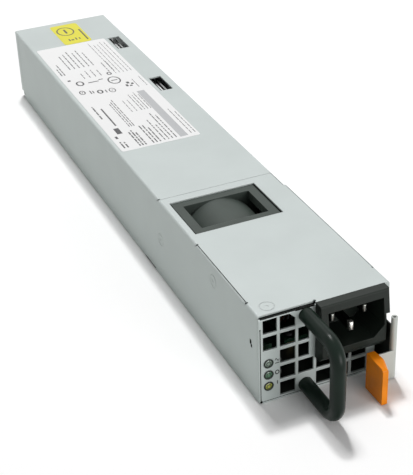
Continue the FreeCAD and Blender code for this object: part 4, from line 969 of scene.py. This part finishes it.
@dataclass
class RatingLabel:
    """The white label on the cover: thin paper with generic line groups, rings and one grey bar."""

    paper_thickness: float = 0.08
    ink_thickness: float = 0.02
    corner: float = 1.2
    shortest_dash: float = 1.2
    dash_spread: float = 3.8
    shortest_gap: float = 0.55
    gap_spread: float = 0.3
    bar_left: float = 5.0
    bar_right: float = 9.0
    bar_front: float = 150.5
    bar_rear: float = 209.0
    groups: tuple[InkLines, ...] = (
        InkLines(11.2, 13.2, 152.0, 186.0, 2, 0.36),
        InkLines(-2.6, 3.2, 151.0, 183.0, 4, 0.50, 0.55),
        InkLines(-8.4, -5.0, 150.5, 172.0, 3, 0.60, 0.50),
        InkLines(-15.2, -12.2, 150.5, 168.0, 3, 0.70, 0.30),
        InkLines(-22.6, -20.8, 151.5, 159.0, 2, 0.70, 0.20),
        InkLines(-0.4, 4.4, 187.0, 209.0, 4, 0.36),
        InkLines(-5.4, -3.0, 187.0, 206.0, 2, 0.30),
        InkLines(-12.6, -10.2, 172.0, 208.0, 3, 0.42, 0.20),
        InkLines(-18.2, -17.4, 176.0, 198.0, 1, 0.80, 0.10, solid=True),
        InkLines(-21.6, -21.6, 186.0, 203.0, 1, 0.70, 0.10),
        InkLines(-13.2, -4.0, 237.0, 247.0, 4, 0.42, 0.35),
        InkLines(-16.4, -3.2, 252.0, 277.0, 6, 0.50, 0.40),
        InkLines(1.4, 4.0, 240.0, 256.0, 2, 0.46, 0.40),
        InkLines(8.4, 12.8, 214.0, 228.0, 2, 0.32),
        InkLines(3.8, 12.4, 236.0, 283.0, 5, 0.28, 0.15),
        InkLines(-22.8, -21.2, 246.0, 262.0, 2, 0.56, 0.40),
    )
    # x, along, half width, half length, stroke
    rings: tuple[tuple[float, float, float, float, float], ...] = (
        (-0.2, 228.0, 3.0, 4.4, 0.75),
        (-17.6, 232.0, 1.7, 2.6, 0.85),
        (-20.2, 220.5, 1.3, 2.2, 0.60),
        (-11.6, 217.5, 1.2, 2.0, 0.85),
        (-5.4, 216.5, 1.5, 2.5, 0.50),
        (0.4, 237.5, 1.0, 1.6, 0.70),
    )
    # x, along, width, length
    blocks: tuple[tuple[float, float, float, float], ...] = (
        (4.9, 221.6, 1.5, 2.4), (6.7, 219.6, 1.3, 1.7), (3.4, 218.4, 1.2, 2.6), (5.3, 217.4, 1.4, 1.3),
        (-0.2, 228.0, 3.4, 0.8), (-16.2, 219.0, 0.6, 4.2), (-14.9, 218.7, 0.6, 3.0),
        (-8.6, 216.8, 0.6, 3.4), (-10.6, 231.0, 5.6, 0.9), (-6.2, 232.4, 2.4, 0.8),
        (-20.2, 220.5, 0.7, 1.1), (-19.4, 170.0, 2.6, 6.5), (-22.4, 163.5, 1.2, 2.6),
        (-21.6, 238.0, 1.6, 1.6), (-5.4, 216.5, 1.0, 0.6),
    )

    def dash_ends(self, group: InkLines, chance: random.Random) -> Outline:
        """Where each dash of one line starts and ends.

        Args:
            group: the group that the line is in.
            chance: the source of word lengths.

        Returns:
            Start and end of each dash along the case.
        """
        reach = (group.rear - group.front) * (1.0 - group.raggedness * chance.random())
        if group.solid:
            return [(group.front, group.front + reach)]
        dashes = []
        place = group.front
        while place < group.front + reach:
            length = self.shortest_dash + self.dash_spread * chance.random()
            dashes.append((place, min(place + length, group.front + reach)))
            place += length + self.shortest_gap + self.gap_spread * chance.random()
        return dashes

    def print_lines(self, ink: Shape, front: float, face: float, top: float) -> None:
        """Add every group's dashes.

        Args:
            ink: the shape that they join.
            front: the case's front face.
            face: height of the paper's face.
            top: height of the ink's face.
        """
        chance = random.Random(11)
        for group in self.groups:
            pitch = (group.right - group.left) / max(group.count - 1, 1)
            for line in range(group.count):
                x = group.left + pitch * line
                for start, end in self.dash_ends(group, chance):
                    ink.box((x - group.width / 2, front + start, face),
                            (x + group.width / 2, front + end, top))

    def build(self) -> None:
        """Make the paper, the dark ink and the grey bar."""
        low, high = node_box("rating_label")
        face = low.z + self.paper_thickness
        top = face + self.ink_thickness
        front = node_box("front_panel")[0].y
        paper = Shape("label_paper")
        paper.slab(rounded_outline(low, high, self.corner), low.z, face)
        paper.finish(LabelPaper("label_white_film", (0.765, 0.765, 0.765)).make(), "label_white",
                     replaced=("rating_label",))
        ink = Shape("label_ink")
        self.print_lines(ink, front, face, top)
        for x, y, across, along, stroke in self.rings:
            ink.ribbon(oval(x, front + y, across, along), stroke, face, top)
        for x, y, across, along in self.blocks:
            ink.patch(x, front + y, across, along, face, top)
        ink.finish(PrintedInk("label_dark_ink", (0.025, 0.025, 0.028)).make(), "label_white")
        bar = Shape("label_bar")
        bar.box((self.bar_left, front + self.bar_front, face), (self.bar_right, front + self.bar_rear, top))
        bar.finish(PrintedInk("label_grey_ink", (0.40, 0.41, 0.42)).make(), "label_white")


@dataclass
class YellowSticker:
    """The small yellow sticker behind the label, with a plain ring, its bar and a few dashes."""

    film_thickness: float = 0.08
    ink_thickness: float = 0.02
    corner: float = 2.0
    ring_x: float = -1.6
    ring_y: float = 4.6
    ring_across: float = 4.6
    ring_along: float = 6.2
    ring_stroke: float = 0.8
    # x and y from the sticker's middle, width, length
    dashes: tuple[tuple[float, float, float, float], ...] = (
        (-1.6, 4.6, 1.2, 6.4), (-3.4, -9.0, 0.8, 3.0), (-1.6, -9.4, 1.4, 1.6),
        (0.6, -8.6, 0.8, 3.4), (2.6, -8.8, 0.8, 2.2), (6.4, -4.0, 0.9, 17.0),
    )

    def build(self) -> None:
        """Make the film and its ink."""
        low, high = node_box("round_label")
        face = low.z + self.film_thickness
        top = face + self.ink_thickness
        film = Shape("sticker_film")
        film.slab(rounded_outline(low, high, self.corner), low.z, face)
        film.finish(LabelPaper("label_yellow_film", (0.66, 0.61, 0.012)).make(), "label_yellow",
                    replaced=("round_label",))
        middle = (low + high) / 2
        ink = Shape("sticker_ink")
        ring = oval(middle.x + self.ring_x, middle.y + self.ring_y, self.ring_across, self.ring_along)
        ink.ribbon(ring, self.ring_stroke, face, top)
        for x, y, width, length in self.dashes:
            ink.patch(middle.x + x, middle.y + y, width, length, face, top)
        ink.finish(PrintedInk("sticker_dark_ink", (0.06, 0.055, 0.02)).make(), "label_yellow")


# ---------------------------------------------------------------- front panel fittings


class LampColour(Enum):
    """The lens of an indicator lamp."""

    CLEAR = (0.16, 0.21, 0.17)
    GREEN = (0.05, 0.14, 0.07)
    AMBER = (0.26, 0.27, 0.03)


@dataclass
class IndicatorLamps:
    """Three lamps, each a domed lens in a dark collar, with a small symbol beside it."""

    collar_radius: float = 2.05
    collar_proud: float = 0.35
    lens_radius: float = 1.45
    dome: float = 0.30
    mark_radius: float = 0.85
    mark_stroke: float = 0.24
    symbol_proud: float = 0.03
    symbol_gap: float = 2.75
    symbol_stroke: float = 0.42
    symbol_width: float = 1.7
    bar_gap: float = 2.1

    def places(self) -> list[tuple[float, float, LampColour]]:
        """Where the lamps sit.

        Returns:
            Each lamp's x, z and colour, from the top.
        """
        green_low, green_high = node_box("green_lamps")
        amber_low, amber_high = node_box("amber_lamp")
        radius = (amber_high.x - amber_low.x) / 2
        x = (amber_low.x + amber_high.x) / 2
        return [(x, green_high.z - radius, LampColour.CLEAR), (x, green_low.z + radius, LampColour.GREEN),
                (x, (amber_low.z + amber_high.z) / 2, LampColour.AMBER)]

    def lens(self, shape: Shape, x: float, z: float, back: float, face: float) -> None:
        """Add one lamp: a stem with a domed nose.

        Args:
            shape: the shape that it joins.
            x: its middle across the panel.
            z: its middle height.
            back: where the stem ends inside.
            face: the panel's front face.
        """
        shape.turned(Axis.Y, (x, 0.0, z), [
            (back, 0.0), (back, self.lens_radius), (face, self.lens_radius),
            (face - self.dome * 0.6, self.lens_radius * 0.82),
            (face - self.dome * 0.9, self.lens_radius * 0.5), (face - self.dome, 0.0)], steps=28)

    def collar(self, shape: Shape, x: float, z: float, face: float) -> None:
        """Add one lamp's collar and the thin ring inside it.

        Args:
            shape: the shape that they join.
            x: the lamp's middle across the panel.
            z: the lamp's middle height.
            face: the panel's front face.
        """
        outer, inner, mark = self.collar_radius, self.lens_radius, self.mark_radius
        proud = face - self.collar_proud
        half = self.mark_stroke / 2
        shape.turned(Axis.Y, (x, 0.0, z), [
            (face, outer), (proud + 0.1, outer), (proud, outer - 0.12), (proud, inner + 0.14),
            (proud + 0.12, inner), (face + 0.1, inner)], steps=36)
        shape.turned(Axis.Y, (x, 0.0, z), [
            (face - 0.1, mark + half + 0.02), (proud, mark + half), (proud, mark - half),
            (face - 0.1, mark - half - 0.02)], steps=24)

    def build(self) -> None:
        """Make lenses, collars and symbols."""
        face = node_box("front_panel")[0].y
        back = node_box("amber_lamp")[1].y
        lenses = {
            LampColour.GREEN: (Shape("lamp_lenses_green"), "lamp_green", "green_lamps"),
            LampColour.CLEAR: (Shape("lamp_lens_clear"), "lamp_green", "green_lamps"),
            LampColour.AMBER: (Shape("lamp_lens_amber"), "lamp_amber", "amber_lamp"),
        }
        collars = Shape("lamp_collars")
        for x, z, colour in self.places():
            self.lens(lenses[colour][0], x, z, back, face)
            self.collar(collars, x, z, face)
        for colour, (shape, slot, node) in lenses.items():
            shape.finish(Lens(f"lens_{colour.name.lower()}", colour.value).make(), slot, replaced=(node,))
        black = MouldedPlastic("collar_black", (0.012, 0.018, 0.014), roughness=0.4)
        collars.finish(black.make(), "lamp_green")
        self.symbols(face)

    def symbols(self, face: float) -> None:
        """Print a wave over a bar, a ring and a stroke, to the right of the lamps.

        Args:
            face: the panel's front face.
        """
        ink = Shape("panel_symbols")
        proud = face - self.symbol_proud
        stroke = self.symbol_stroke
        half = stroke / 2
        (x, upper, _), (_, middle, _), (_, lower, _) = self.places()
        left = x + self.symbol_gap

        def bar(low_x: float, low_z: float, high_z: float, width: float = stroke) -> None:
            """Print one upright or level bar."""
            ink.box((low_x, proud, low_z), (low_x + width, face, high_z))

        waves = 10
        for step in range(waves):
            share = step / (waves - 1)
            height = upper + 0.75 + 0.5 * math.sin(math.tau * share)
            bar(left + self.symbol_width * share - 0.11, height - half, height + half, 0.22)
        bar(left, upper - 0.75 - half, upper - 0.75 + half, self.symbol_width)
        dots = 14
        for step in range(dots):
            turn = math.tau * step / dots
            spot_x = left + self.symbol_width / 2 + 0.75 * math.cos(turn)
            spot_z = middle + 0.2 + 0.85 * math.sin(turn)
            bar(spot_x - half, spot_z - half, spot_z + half)
        for height in (upper, middle):
            bar(left + self.bar_gap, height - 0.9, height + 1.2)
        bar(left + 0.7, lower - 0.1, lower + 1.5)
        ink.finish(PrintedInk("panel_ink", (0.008, 0.012, 0.009)).make(), "case_steel")


@dataclass
class InletBlades:
    """The three plated blades of the mains inlet, their tips rounded and their edges eased."""

    width: float = 2.0
    height: float = 4.0
    earth_lead: float = 2.4
    tip: float = 0.9
    ease: float = 0.22
    # Length of blade tip kept in its plain colour; behind it comes painted shade.
    bright: float = 1.0

    def build(self) -> None:
        """Make the blades in the places of the CAD ones, the earth blade leading."""
        low, high = node_box("inlet_contacts")
        upper, lower = high.z - self.height / 2, low.z + self.height / 2
        blades = Shape("inlet_blades")
        for x, z, tip in ((low.x + self.width / 2, upper, low.y + self.earth_lead),
                          (high.x - self.width / 2, upper, low.y + self.earth_lead),
                          ((low.x + high.x) / 2, lower, low.y)):
            self.blade(blades, x, z, tip, high.y)
        # Painted shade: behind the tips the blades are painted near black, for the shade inside the socket.
        plating = BareMetal("blade_nickel", (0.90, 0.90, 0.84), roughness=0.30, painted_shade_axis=Axis.Y,
                            painted_shade_from=low.y + self.bright)
        blades.finish(plating.make(), "nickel", replaced=("inlet_contacts",))

    def blade(self, shape: Shape, x: float, z: float, tip: float, tail: float) -> None:
        """Add one blade.

        Args:
            shape: the shape that it joins.
            x: its middle across the case.
            z: its middle height.
            tip: its foremost place.
            tail: its rearmost place.
        """
        rows = []
        for y, thin, low in ((tip, 0.35, 0.62), (tip + self.tip * 0.3, 0.75, 0.86),
                             (tip + self.tip, 1.0, 1.0), (tail, 1.0, 1.0)):
            half_x, half_z = self.width / 2 * thin, self.height / 2 * low
            ease = self.ease * thin
            ring = [(half_x, -half_z + ease), (half_x, half_z - ease), (half_x - ease, half_z),
                    (ease - half_x, half_z), (-half_x, half_z - ease), (-half_x, ease - half_z),
                    (ease - half_x, -half_z), (half_x - ease, -half_z)]
            rows.append([shape.corner(x + u, y, z + v) for u, v in ring])
        shape.mesh.faces.new(rows[0])
        shape.mesh.faces.new(list(reversed(rows[-1])))
        for first, second in zip(rows, rows[1:]):
            shape.band(first, second)


# ---------------------------------------------------------------- fasteners


@dataclass
class Fasteners:
    """Low-headed cover screws, pan-headed board screws and domed latch rivets."""

    shank_radius: float = 1.25
    recess_share: float = 0.35
    cover_head: float = 0.6
    pan_radius: float = 2.3
    board_inset: float = 3.8
    rivet_head: float = 0.6
    rivet_shank: float = 0.52

    def rivets(self) -> None:
        """Domed rivets through the right wall."""
        low, high = node_box("latch_rivets")
        radius = (high.y - low.y) / 2
        shank = radius * self.rivet_shank
        shape = Shape("rivets_domed")
        for z in (low.z + radius, high.z - radius):
            shape.turned(Axis.X, (0.0, (low.y + high.y) / 2, z), [
                (low.x, 0.0), (low.x, radius * 0.8), (low.x + 0.15, radius),
                (low.x + self.rivet_head, radius), (low.x + self.rivet_head, shank),
                (high.x - self.rivet_head, shank),
                (high.x - self.rivet_head, radius), (high.x - 0.4, radius * 0.97),
                (high.x - 0.15, radius * 0.72), (high.x, radius * 0.35), (high.x - 0.05, 0.0)], steps=32)
        shape.finish(BareMetal("rivet_steel", (0.64, 0.65, 0.65), roughness=0.34).make(), "screw_steel",
                     replaced=("latch_rivets",))

    def screw(self, shape: Shape, axis: Axis, centre: Point, ends: tuple[float, float, float],
              head_radius: float) -> None:
        """Add one screw with a low domed head that has a round driver recess.

        Args:
            shape: the shape that it joins.
            axis: the screw's axis.
            centre: a point of the axis.
            ends: where the shank starts, the head seats and the head ends.
            head_radius: radius of the head.
        """
        start, base, crown = ends
        rise = crown - base
        recess = rise * self.recess_share
        shank = self.shank_radius
        shape.turned(axis, centre, [
            (start, 0.0), (start, shank * 0.8), (start + (base - start) * 0.12, shank),
            (base, shank), (base, head_radius), (base + rise * 0.45, head_radius * 0.97),
            (base + rise * 0.85, head_radius * 0.74), (crown, head_radius * 0.46),
            (crown - recess * 0.2, head_radius * 0.40), (crown - recess, head_radius * 0.16),
            (crown - recess, 0.0)], steps=32)

    def cover_screws(self) -> None:
        """Low-headed screws in the right wall."""
        low, high = node_box("cover_screws")
        radius = (high.z - low.z) / 2
        shape = Shape("cover_screws_turned")
        for y in (low.y + radius, high.y - radius):
            self.screw(shape, Axis.X, (0.0, y, (low.z + high.z) / 2),
                       (low.x, high.x - self.cover_head, high.x), radius)
        shape.finish(BareMetal("screw_zinc", (0.60, 0.61, 0.63)).make(), "screw_steel",
                     replaced=("cover_screws",))

    def board_screws(self) -> None:
        """Pan-headed screws that hold the boards down, painted near black as shade inside the case."""
        low, high = node_box("board_screws")
        main_low, main_high = node_box("main_board")
        filter_low, filter_high = node_box("filter_board")
        inset = self.board_inset
        places = [(x, y) for x in (main_low.x + inset, main_high.x - inset)
                  for y in (main_low.y + inset, high.y - self.pan_radius)]
        places += [(filter_low.x + inset, filter_low.y + inset),
                   (filter_high.x - inset, filter_high.y - inset)]
        shape = Shape("board_screws_turned")
        for x, y in places:
            self.screw(shape, Axis.Z, (x, y, 0.0), (low.z, main_high.z, high.z), self.pan_radius)
        # Painted shade: near-black metal in place of a plated screw, for the shade inside the case.
        shape.finish(BareMetal("screw_black", (0.035, 0.036, 0.036), roughness=0.5).make(), "screw_steel",
                     replaced=("board_screws",))

    def build(self) -> None:
        """Make all fasteners that show."""
        self.rivets()
        self.cover_screws()
        self.board_screws()


# ---------------------------------------------------------------- parts on the boards


@dataclass
class WoundRing:
    """A ring core wound with thick enamelled wire."""

    node: str
    name: str
    wire: float
    turns: int
    hole_share: float = 0.36
    core_ease: float = 0.5
    squareness: float = 1.35
    steps: int = 16

    def core(self, middle: Vector, outer: float, hole: float, half_length: float) -> None:
        """Turn the core that the wire is wound on.

        Args:
            middle: the ring's middle.
            outer: radius of the wound ring.
            hole: radius of its hole.
            half_length: half its length along the case.
        """
        inner, rim = hole + self.wire * 2, outer - self.wire * 2
        face = half_length - self.wire * 2
        ease = self.core_ease
        core = Shape(f"{self.name}_core")
        core.turned(Axis.Y, tuple(middle), [
            (-face, inner + ease), (-face, rim - ease), (ease - face, rim), (face - ease, rim),
            (face, rim - ease), (face, inner + ease), (face - ease, inner), (ease - face, inner),
            (-face, inner + ease)], steps=48)
        grey = MouldedPlastic(f"{self.name}_core_grey", (0.05, 0.055, 0.06), roughness=0.55)
        core.finish(grey.make(), "ferrite", replaced=(self.node,))

    def squared(self, share: float) -> float:
        """A swing of the wire round its core, held flat along the core's faces."""
        return max(-1.0, min(1.0, share * self.squareness))

    def build(self) -> None:
        """Make core and wire inside the CAD ring's box."""
        low, high = node_box(self.node)
        middle = (low + high) / 2
        outer = (high.x - low.x) / 2
        hole = outer * self.hole_share
        half_length = (high.y - low.y) / 2
        self.core(middle, outer, hole, half_length)
        half_band = (outer - hole) / 2 - self.wire
        points = []
        for step in range(self.turns * self.steps):
            around = math.tau * step / (self.turns * self.steps)
            turn = math.tau * step / self.steps
            radius = (outer + hole) / 2 + half_band * self.squared(math.cos(turn))
            points.append(Vector((
                middle.x + radius * math.sin(around),
                middle.y + (half_length - self.wire) * self.squared(math.sin(turn)),
                middle.z + radius * math.cos(around))))
        winding = Shape(f"{self.name}_wire")
        winding.wire(points, self.wire, sides=7)
        # Painted shade: the copper wire is painted near black, for the shade inside the case.
        winding.finish(BareMetal(f"{self.name}_enamel", (0.04, 0.017, 0.010), roughness=0.42).make(), "copper")


@dataclass
class Capacitors:
    """Sleeved cans with rolled rims and scored vents."""

    rim: float = 0.5
    groove: float = 0.35
    bulk_pitch: float = 48.0
    output_radius: float = 4.0
    output_rows: int = 2
    output_columns: int = 4

    def profile(self, low: float, high: float, radius: float) -> Outline:
        """Rings of a can from its sealed end to its vent end.

        Args:
            low: where the can starts along its axis.
            high: where it ends.
            radius: its radius.

        Returns:
            Distance along the axis and radius of each ring.
        """
        return [
            (low, 0.0), (low, radius - 1.0), (low + 0.3, radius - 0.3), (low + 1.2, radius),
            (low + 2.4, radius), (low + 3.0, radius - self.groove), (low + 3.6, radius),
            (high - 1.0, radius), (high - 0.35, radius - 0.15), (high, radius - self.rim),
            (high, radius - 1.2), (high - 0.35, radius - 1.5), (high - 0.35, 0.0)]

    def bulk(self) -> None:
        """The two large cans that lie along the board."""
        low, high = node_box("bulk_capacitors")
        middle = (low + high) / 2
        length = high.y - low.y - self.bulk_pitch
        shape = Shape("bulk_cans")
        for start in (low.y, low.y + self.bulk_pitch):
            shape.turned(Axis.Y, (middle.x, 0.0, middle.z),
                         self.profile(start, start + length, (high.x - low.x) / 2), steps=56)
        shape.finish(CanSleeve("can_sleeve_dark", (0.012, 0.014, 0.022)).make(), "can_sleeve",
                     replaced=("bulk_capacitors",))

    def output(self) -> None:
        """Small upright cans in rows."""
        low, high = node_box("output_capacitors")
        radius = self.output_radius
        spread_x, spread_y = high.x - low.x - radius * 2, high.y - low.y - radius * 2
        shape = Shape("output_cans")
        for row in range(self.output_rows):
            y = low.y + radius + spread_y * row / (self.output_rows - 1)
            for column in range(self.output_columns):
                x = low.x + radius + spread_x * column / (self.output_columns - 1)
                shape.turned(Axis.Z, (x, y, 0.0), self.profile(low.z, high.z, radius), steps=32)
        shape.finish(CanSleeve("can_sleeve_blue", (0.02, 0.03, 0.09)).make(), "can_sleeve",
                     replaced=("output_capacitors",))

    def build(self) -> None:
        """Make both kinds."""
        self.bulk()
        self.output()


@dataclass
class BoxedParts:
    """Moulded cases and packages with eased edges, in place of the plain CAD blocks."""

    packages: int = 3
    package_length: float = 10.0
    package_split: float = 0.72
    tab: float = 1.2
    case_foot: float = 1.2
    case_overhang: float = 0.25
    fuse_cap: float = 5.0
    fuse_neck: float = 0.88

    def transistors(self, node: str) -> None:
        """Flat packages with a metal tab at their cooled face.

        Args:
            node: the CAD node that they stand for.
        """
        low, high = node_box(node)
        split = low.z + (high.z - low.z) * self.package_split
        pitch = (high.y - low.y - self.package_length) / (self.packages - 1)
        shape = Shape(f"{node}_moulded")
        tabs = Shape(f"{node}_tabs")
        for number in range(self.packages):
            start = low.y + pitch * number
            end = start + self.package_length
            shape.box((low.x, start, low.z), (high.x - self.tab, end, split), 0.35, 2)
            tabs.box((high.x - self.tab, start + 0.4, low.z + 0.6), (high.x, end - 0.4, high.z), 0.15, 1)
        shape.finish(MouldedPlastic(f"{node}_epoxy", (0.018, 0.018, 0.02), roughness=0.5).make(),
                     "package_plastic", replaced=(node,))
        tabs.finish(BareMetal(f"{node}_tin", (0.70, 0.70, 0.68)).make(), "nickel")

    def case(self, node: str, rounding: float, tint: Colour, slot: str) -> None:
        """One moulded case on a narrower foot.

        Args:
            node: the CAD node that it stands for.
            rounding: radius of its edges.
            tint: its colour.
            slot: its material slot.
        """
        low, high = node_box(node)
        foot = low.z + self.case_foot
        shape = Shape(f"{node}_case")
        shape.box((low.x + self.case_overhang, low.y + self.case_overhang, low.z),
                  (high.x - self.case_overhang, high.y - self.case_overhang, foot), 0.15, 1)
        shape.box((low.x, low.y, foot), tuple(high), rounding, 3)
        shape.finish(MouldedPlastic(f"{node}_shell", tint, roughness=0.36).make(), slot, replaced=(node,))

    def fuse(self) -> None:
        """A ceramic tube fuse with two metal caps."""
        low, high = node_box("line_fuse")
        radius = (high.x - low.x) / 2
        centre = ((low.x + high.x) / 2, 0.0, (low.z + high.z) / 2)
        neck = radius * self.fuse_neck
        first, last = low.y + self.fuse_cap, high.y - self.fuse_cap
        body = Shape("fuse_body")
        body.turned(Axis.Y, centre, [(first, 0.0), (first, neck), (last, neck), (last, 0.0)])
        # Painted shade: the white ceramic is painted dark, for the shade inside the case.
        body.finish(MouldedPlastic("fuse_ceramic", (0.30, 0.28, 0.24), roughness=0.3).make(), "box_plastic",
                    replaced=("line_fuse",))
        caps = Shape("fuse_caps")
        for start, end in ((low.y, first), (last, high.y)):
            caps.turned(Axis.Y, centre, [
                (start, 0.0), (start, radius * 0.8), (start + 0.3, radius), (end - 0.3, radius),
                (end, radius * 0.9), (end, 0.0)])
        # Painted shade: the nickel caps are painted near black, for the shade inside the case.
        caps.finish(BareMetal("fuse_nickel", (0.09, 0.088, 0.08)).make(), "nickel")

    def build(self) -> None:
        """Make all boxed parts."""
        self.transistors("primary_transistors")
        self.transistors("secondary_transistors")
        self.case("inrush_relay", 0.6, (0.03, 0.05, 0.09), "box_plastic")
        self.case("bridge_rectifier", 0.7, (0.02, 0.02, 0.022), "package_plastic")
        self.fuse()


@dataclass
class FilmCapacitors:
    """Two boxed film capacitors of different heights."""

    width: float = 15.0
    thickness: float = 8.0
    lower_height: float = 14.0
    rounding: float = 0.7

    def build(self) -> None:
        """Make both boxes."""
        low, high = node_box("film_capacitors")
        shape = Shape("film_capacitor_boxes")
        for x, y, top in ((low.x, low.y, low.z + self.lower_height),
                          (high.x - self.width, high.y - self.thickness, high.z)):
            shape.box((x, y, low.z), (x + self.width, y + self.thickness, top), self.rounding, 3)
        # A blue-grey box, painted darker than its own colour as shade inside the case.
        grey = MouldedPlastic("film_box_grey", (0.035, 0.05, 0.06), roughness=0.4)
        shape.finish(grey.make(), "box_plastic", replaced=("film_capacitors",))


@dataclass
class CardParts:
    """Small chips on the control card's left face."""

    thickness: float = 1.1
    # along the card, above its lower edge, length, height
    chips: tuple[tuple[float, float, float, float], ...] = (
        (4.0, 6.0, 6.0, 5.0), (13.0, 10.0, 5.0, 4.0), (21.0, 5.0, 7.0, 7.0),
        (6.0, 15.0, 4.0, 4.0), (15.0, 18.0, 8.0, 3.6), (26.0, 16.0, 3.6, 4.0),
    )

    def build(self) -> None:
        """Set the chips on the card."""
        low = node_box("control_card")[0]
        shape = Shape("card_chips")
        for along, above, length, height in self.chips:
            y, z = low.y + along, low.z + above
            shape.box((low.x - self.thickness, y, z), (low.x, y + length, z + height), 0.2, 1)
        shape.finish(MouldedPlastic("chip_black", (0.016, 0.016, 0.018), roughness=0.45).make(),
                     "package_plastic")


# ---------------------------------------------------------------- joints of the case


@dataclass(frozen=True)
class ShadeFill:
    """A black filling set as painted shade, by how far it reaches inward of the left wall, behind the front
    face and upward.
    """

    inward: tuple[float, float]
    behind: tuple[float, float]
    upward: tuple[float, float]


@dataclass
class CaseJoints:
    """Black fills set as painted shade in the case's slits, slots and seams, a black sheet set as painted
    shade inside the right wall, and the rear panel's side bands that close the walls' rear steps.
    """

    sheet: float = 0.8
    step: float = 6.5
    joint: float = 0.5
    band_low: float = 3.8
    band_drop: float = 1.0
    band_inset: float = 0.1
    # Black fills that stand in for the shade inside the slits, slots and seams: painted shade.
    corner_slit: ShadeFill = ShadeFill((0.41, 0.89), (0.02, 0.5), (1.3, 34.4))
    side_slot: ShadeFill = ShadeFill((0.02, 0.7), (6.22, 7.08), (23.32, 25.88))
    slot_shades: tuple[ShadeFill, ShadeFill] = (
        ShadeFill((-0.01, 0.1), (6.3, 7.7), (24.1, 26.3)), ShadeFill((-0.01, 0.1), (5.7, 6.9), (23.0, 24.5)))
    lock_slot: ShadeFill = ShadeFill((0.25, 0.75), (107.05, 119.95), (0.05, 1.55))
    slit_end_inward: float = 0.8
    slit_end_height: float = 0.95
    slit_end_radius: float = 0.55
    seam: ShadeFill = ShadeFill((0.9, 22.85), (0.02, 0.5), (-1.12, -0.82))
    notch: ShadeFill = ShadeFill((15.25, 23.25), (0.0, 0.3), (-1.5, -0.82))
    # Size and place of the black sheet of painted shade inside the right wall.
    shade_sheet_thickness: float = 0.27
    shade_sheet_gap: float = 0.05
    shade_sheet_front: float = 1.2
    shade_sheet_rear: float = 48.0
    shade_sheet_low: float = 5.0
    shade_sheet_drop: float = 1.4

    def bands(self) -> None:
        """Folded strips between the walls' rear ends and the rear panel."""
        high = node_box("chassis")[1]
        cover_low, cover_high = node_box("top_cover")
        wall = abs(cover_low.x)
        shape = Shape("rear_bands")
        for side in (-1, 1):
            near, far = sorted((side * (wall - self.band_inset), side * (wall - self.sheet)))
            shape.box((near, high.y - self.step + self.joint, self.band_low),
                      (far, high.y - 0.15, cover_high.z - self.band_drop), 0.18, 2)
        shape.finish(PlatedSteel("band_zinc", roughness=0.46).make(), "case_steel")

    def fill(self, shape: Shape, shade_fill: ShadeFill, base: float = 0.0) -> None:
        """Add one black fill of painted shade.

        Args:
            shape: the shape that it joins.
            shade_fill: its reach.
            base: the height that its upward reach starts from.
        """
        wall = node_box("top_cover")[0].x
        face = node_box("front_panel")[0].y
        corners = zip(shade_fill.inward, shade_fill.behind, shade_fill.upward)
        low, high = ((wall + inward, face + behind, base + upward) for inward, behind, upward in corners)
        shape.box(low, high)

    def joints(self) -> None:
        """Thin black fills, painted shade, that lie in the slits and seams."""
        wall, _, _ = node_box("top_cover")[0]
        cover = node_box("top_cover")[1].z
        face = node_box("front_panel")[0].y
        shape = Shape("case_joints")
        for shade_fill in (self.corner_slit, self.side_slot, *self.slot_shades, self.lock_slot):
            self.fill(shape, shade_fill)
        for shade_fill in (self.seam, self.notch):
            self.fill(shape, shade_fill, cover)
        # Painted shade: a black dot at the foot of the corner slit.
        radius = self.slit_end_radius
        shape.turned(Axis.Y, (wall + self.slit_end_inward, 0.0, self.slit_end_height), [
            (face - 0.05, 0.0), (face - 0.05, radius), (face + 0.3, radius), (face + 0.3, 0.0)], steps=20)
        # Painted shade: black slits at the walls' rear steps.
        rear = node_box("chassis")[1].y - self.step
        for side in (-1, 1):
            near, far = sorted((side * (abs(wall) - 0.35), side * (abs(wall) - self.sheet)))
            shape.box((near, rear + 0.02, self.band_low), (far, rear + self.joint, cover - 1.2))
        black = MouldedPlastic("joint_shade_black", (0.003, 0.004, 0.003), roughness=0.8, shine=0.1)
        shape.finish(black.make(), "inlet_plastic")

    def shade_sheet(self) -> None:
        """A black sheet inside the right wall, beside the latch's arm, set there as painted shade."""
        cover_low, cover_high = node_box("top_cover")
        outer = abs(cover_low.x) - self.sheet - self.shade_sheet_gap
        shape = Shape("wall_shade_sheet")
        shape.box((outer - self.shade_sheet_thickness, cover_low.y + self.shade_sheet_front, self.shade_sheet_low),
                  (outer, cover_low.y + self.shade_sheet_rear, cover_high.z - self.shade_sheet_drop), 0.08, 1)
        # Painted shade: a near-black sheet that stands in for the shade behind the latch's arm.
        film = MouldedPlastic("shade_sheet_black", (0.006, 0.009, 0.007), roughness=0.5, shine=0.2)
        shape.finish(film.make(), "film_plastic")

    def build(self) -> None:
        """Make bands, the black fills and the black sheet of painted shade."""
        self.bands()
        self.joints()
        self.shade_sheet()


# ---------------------------------------------------------------- all pieces


ASSEMBLIES = (
    RatingLabel(), YellowSticker(), IndicatorLamps(), InletBlades(), CaseJoints(), Fasteners(),
    Capacitors(), WoundRing("pfc_choke", "pfc_ring", 0.55, 27),
    WoundRing("line_choke", "line_ring", 0.45, 22), BoxedParts(), FilmCapacitors(), CardParts(),
)


def main() -> None:
    """Build the studio and dress the object."""
    Studio().build()
    CarriedFinishes().dress()
    for assembly in ASSEMBLIES:
        assembly.build()


if __name__ == "__main__":
    logging.basicConfig(level=logging.INFO)
    main()
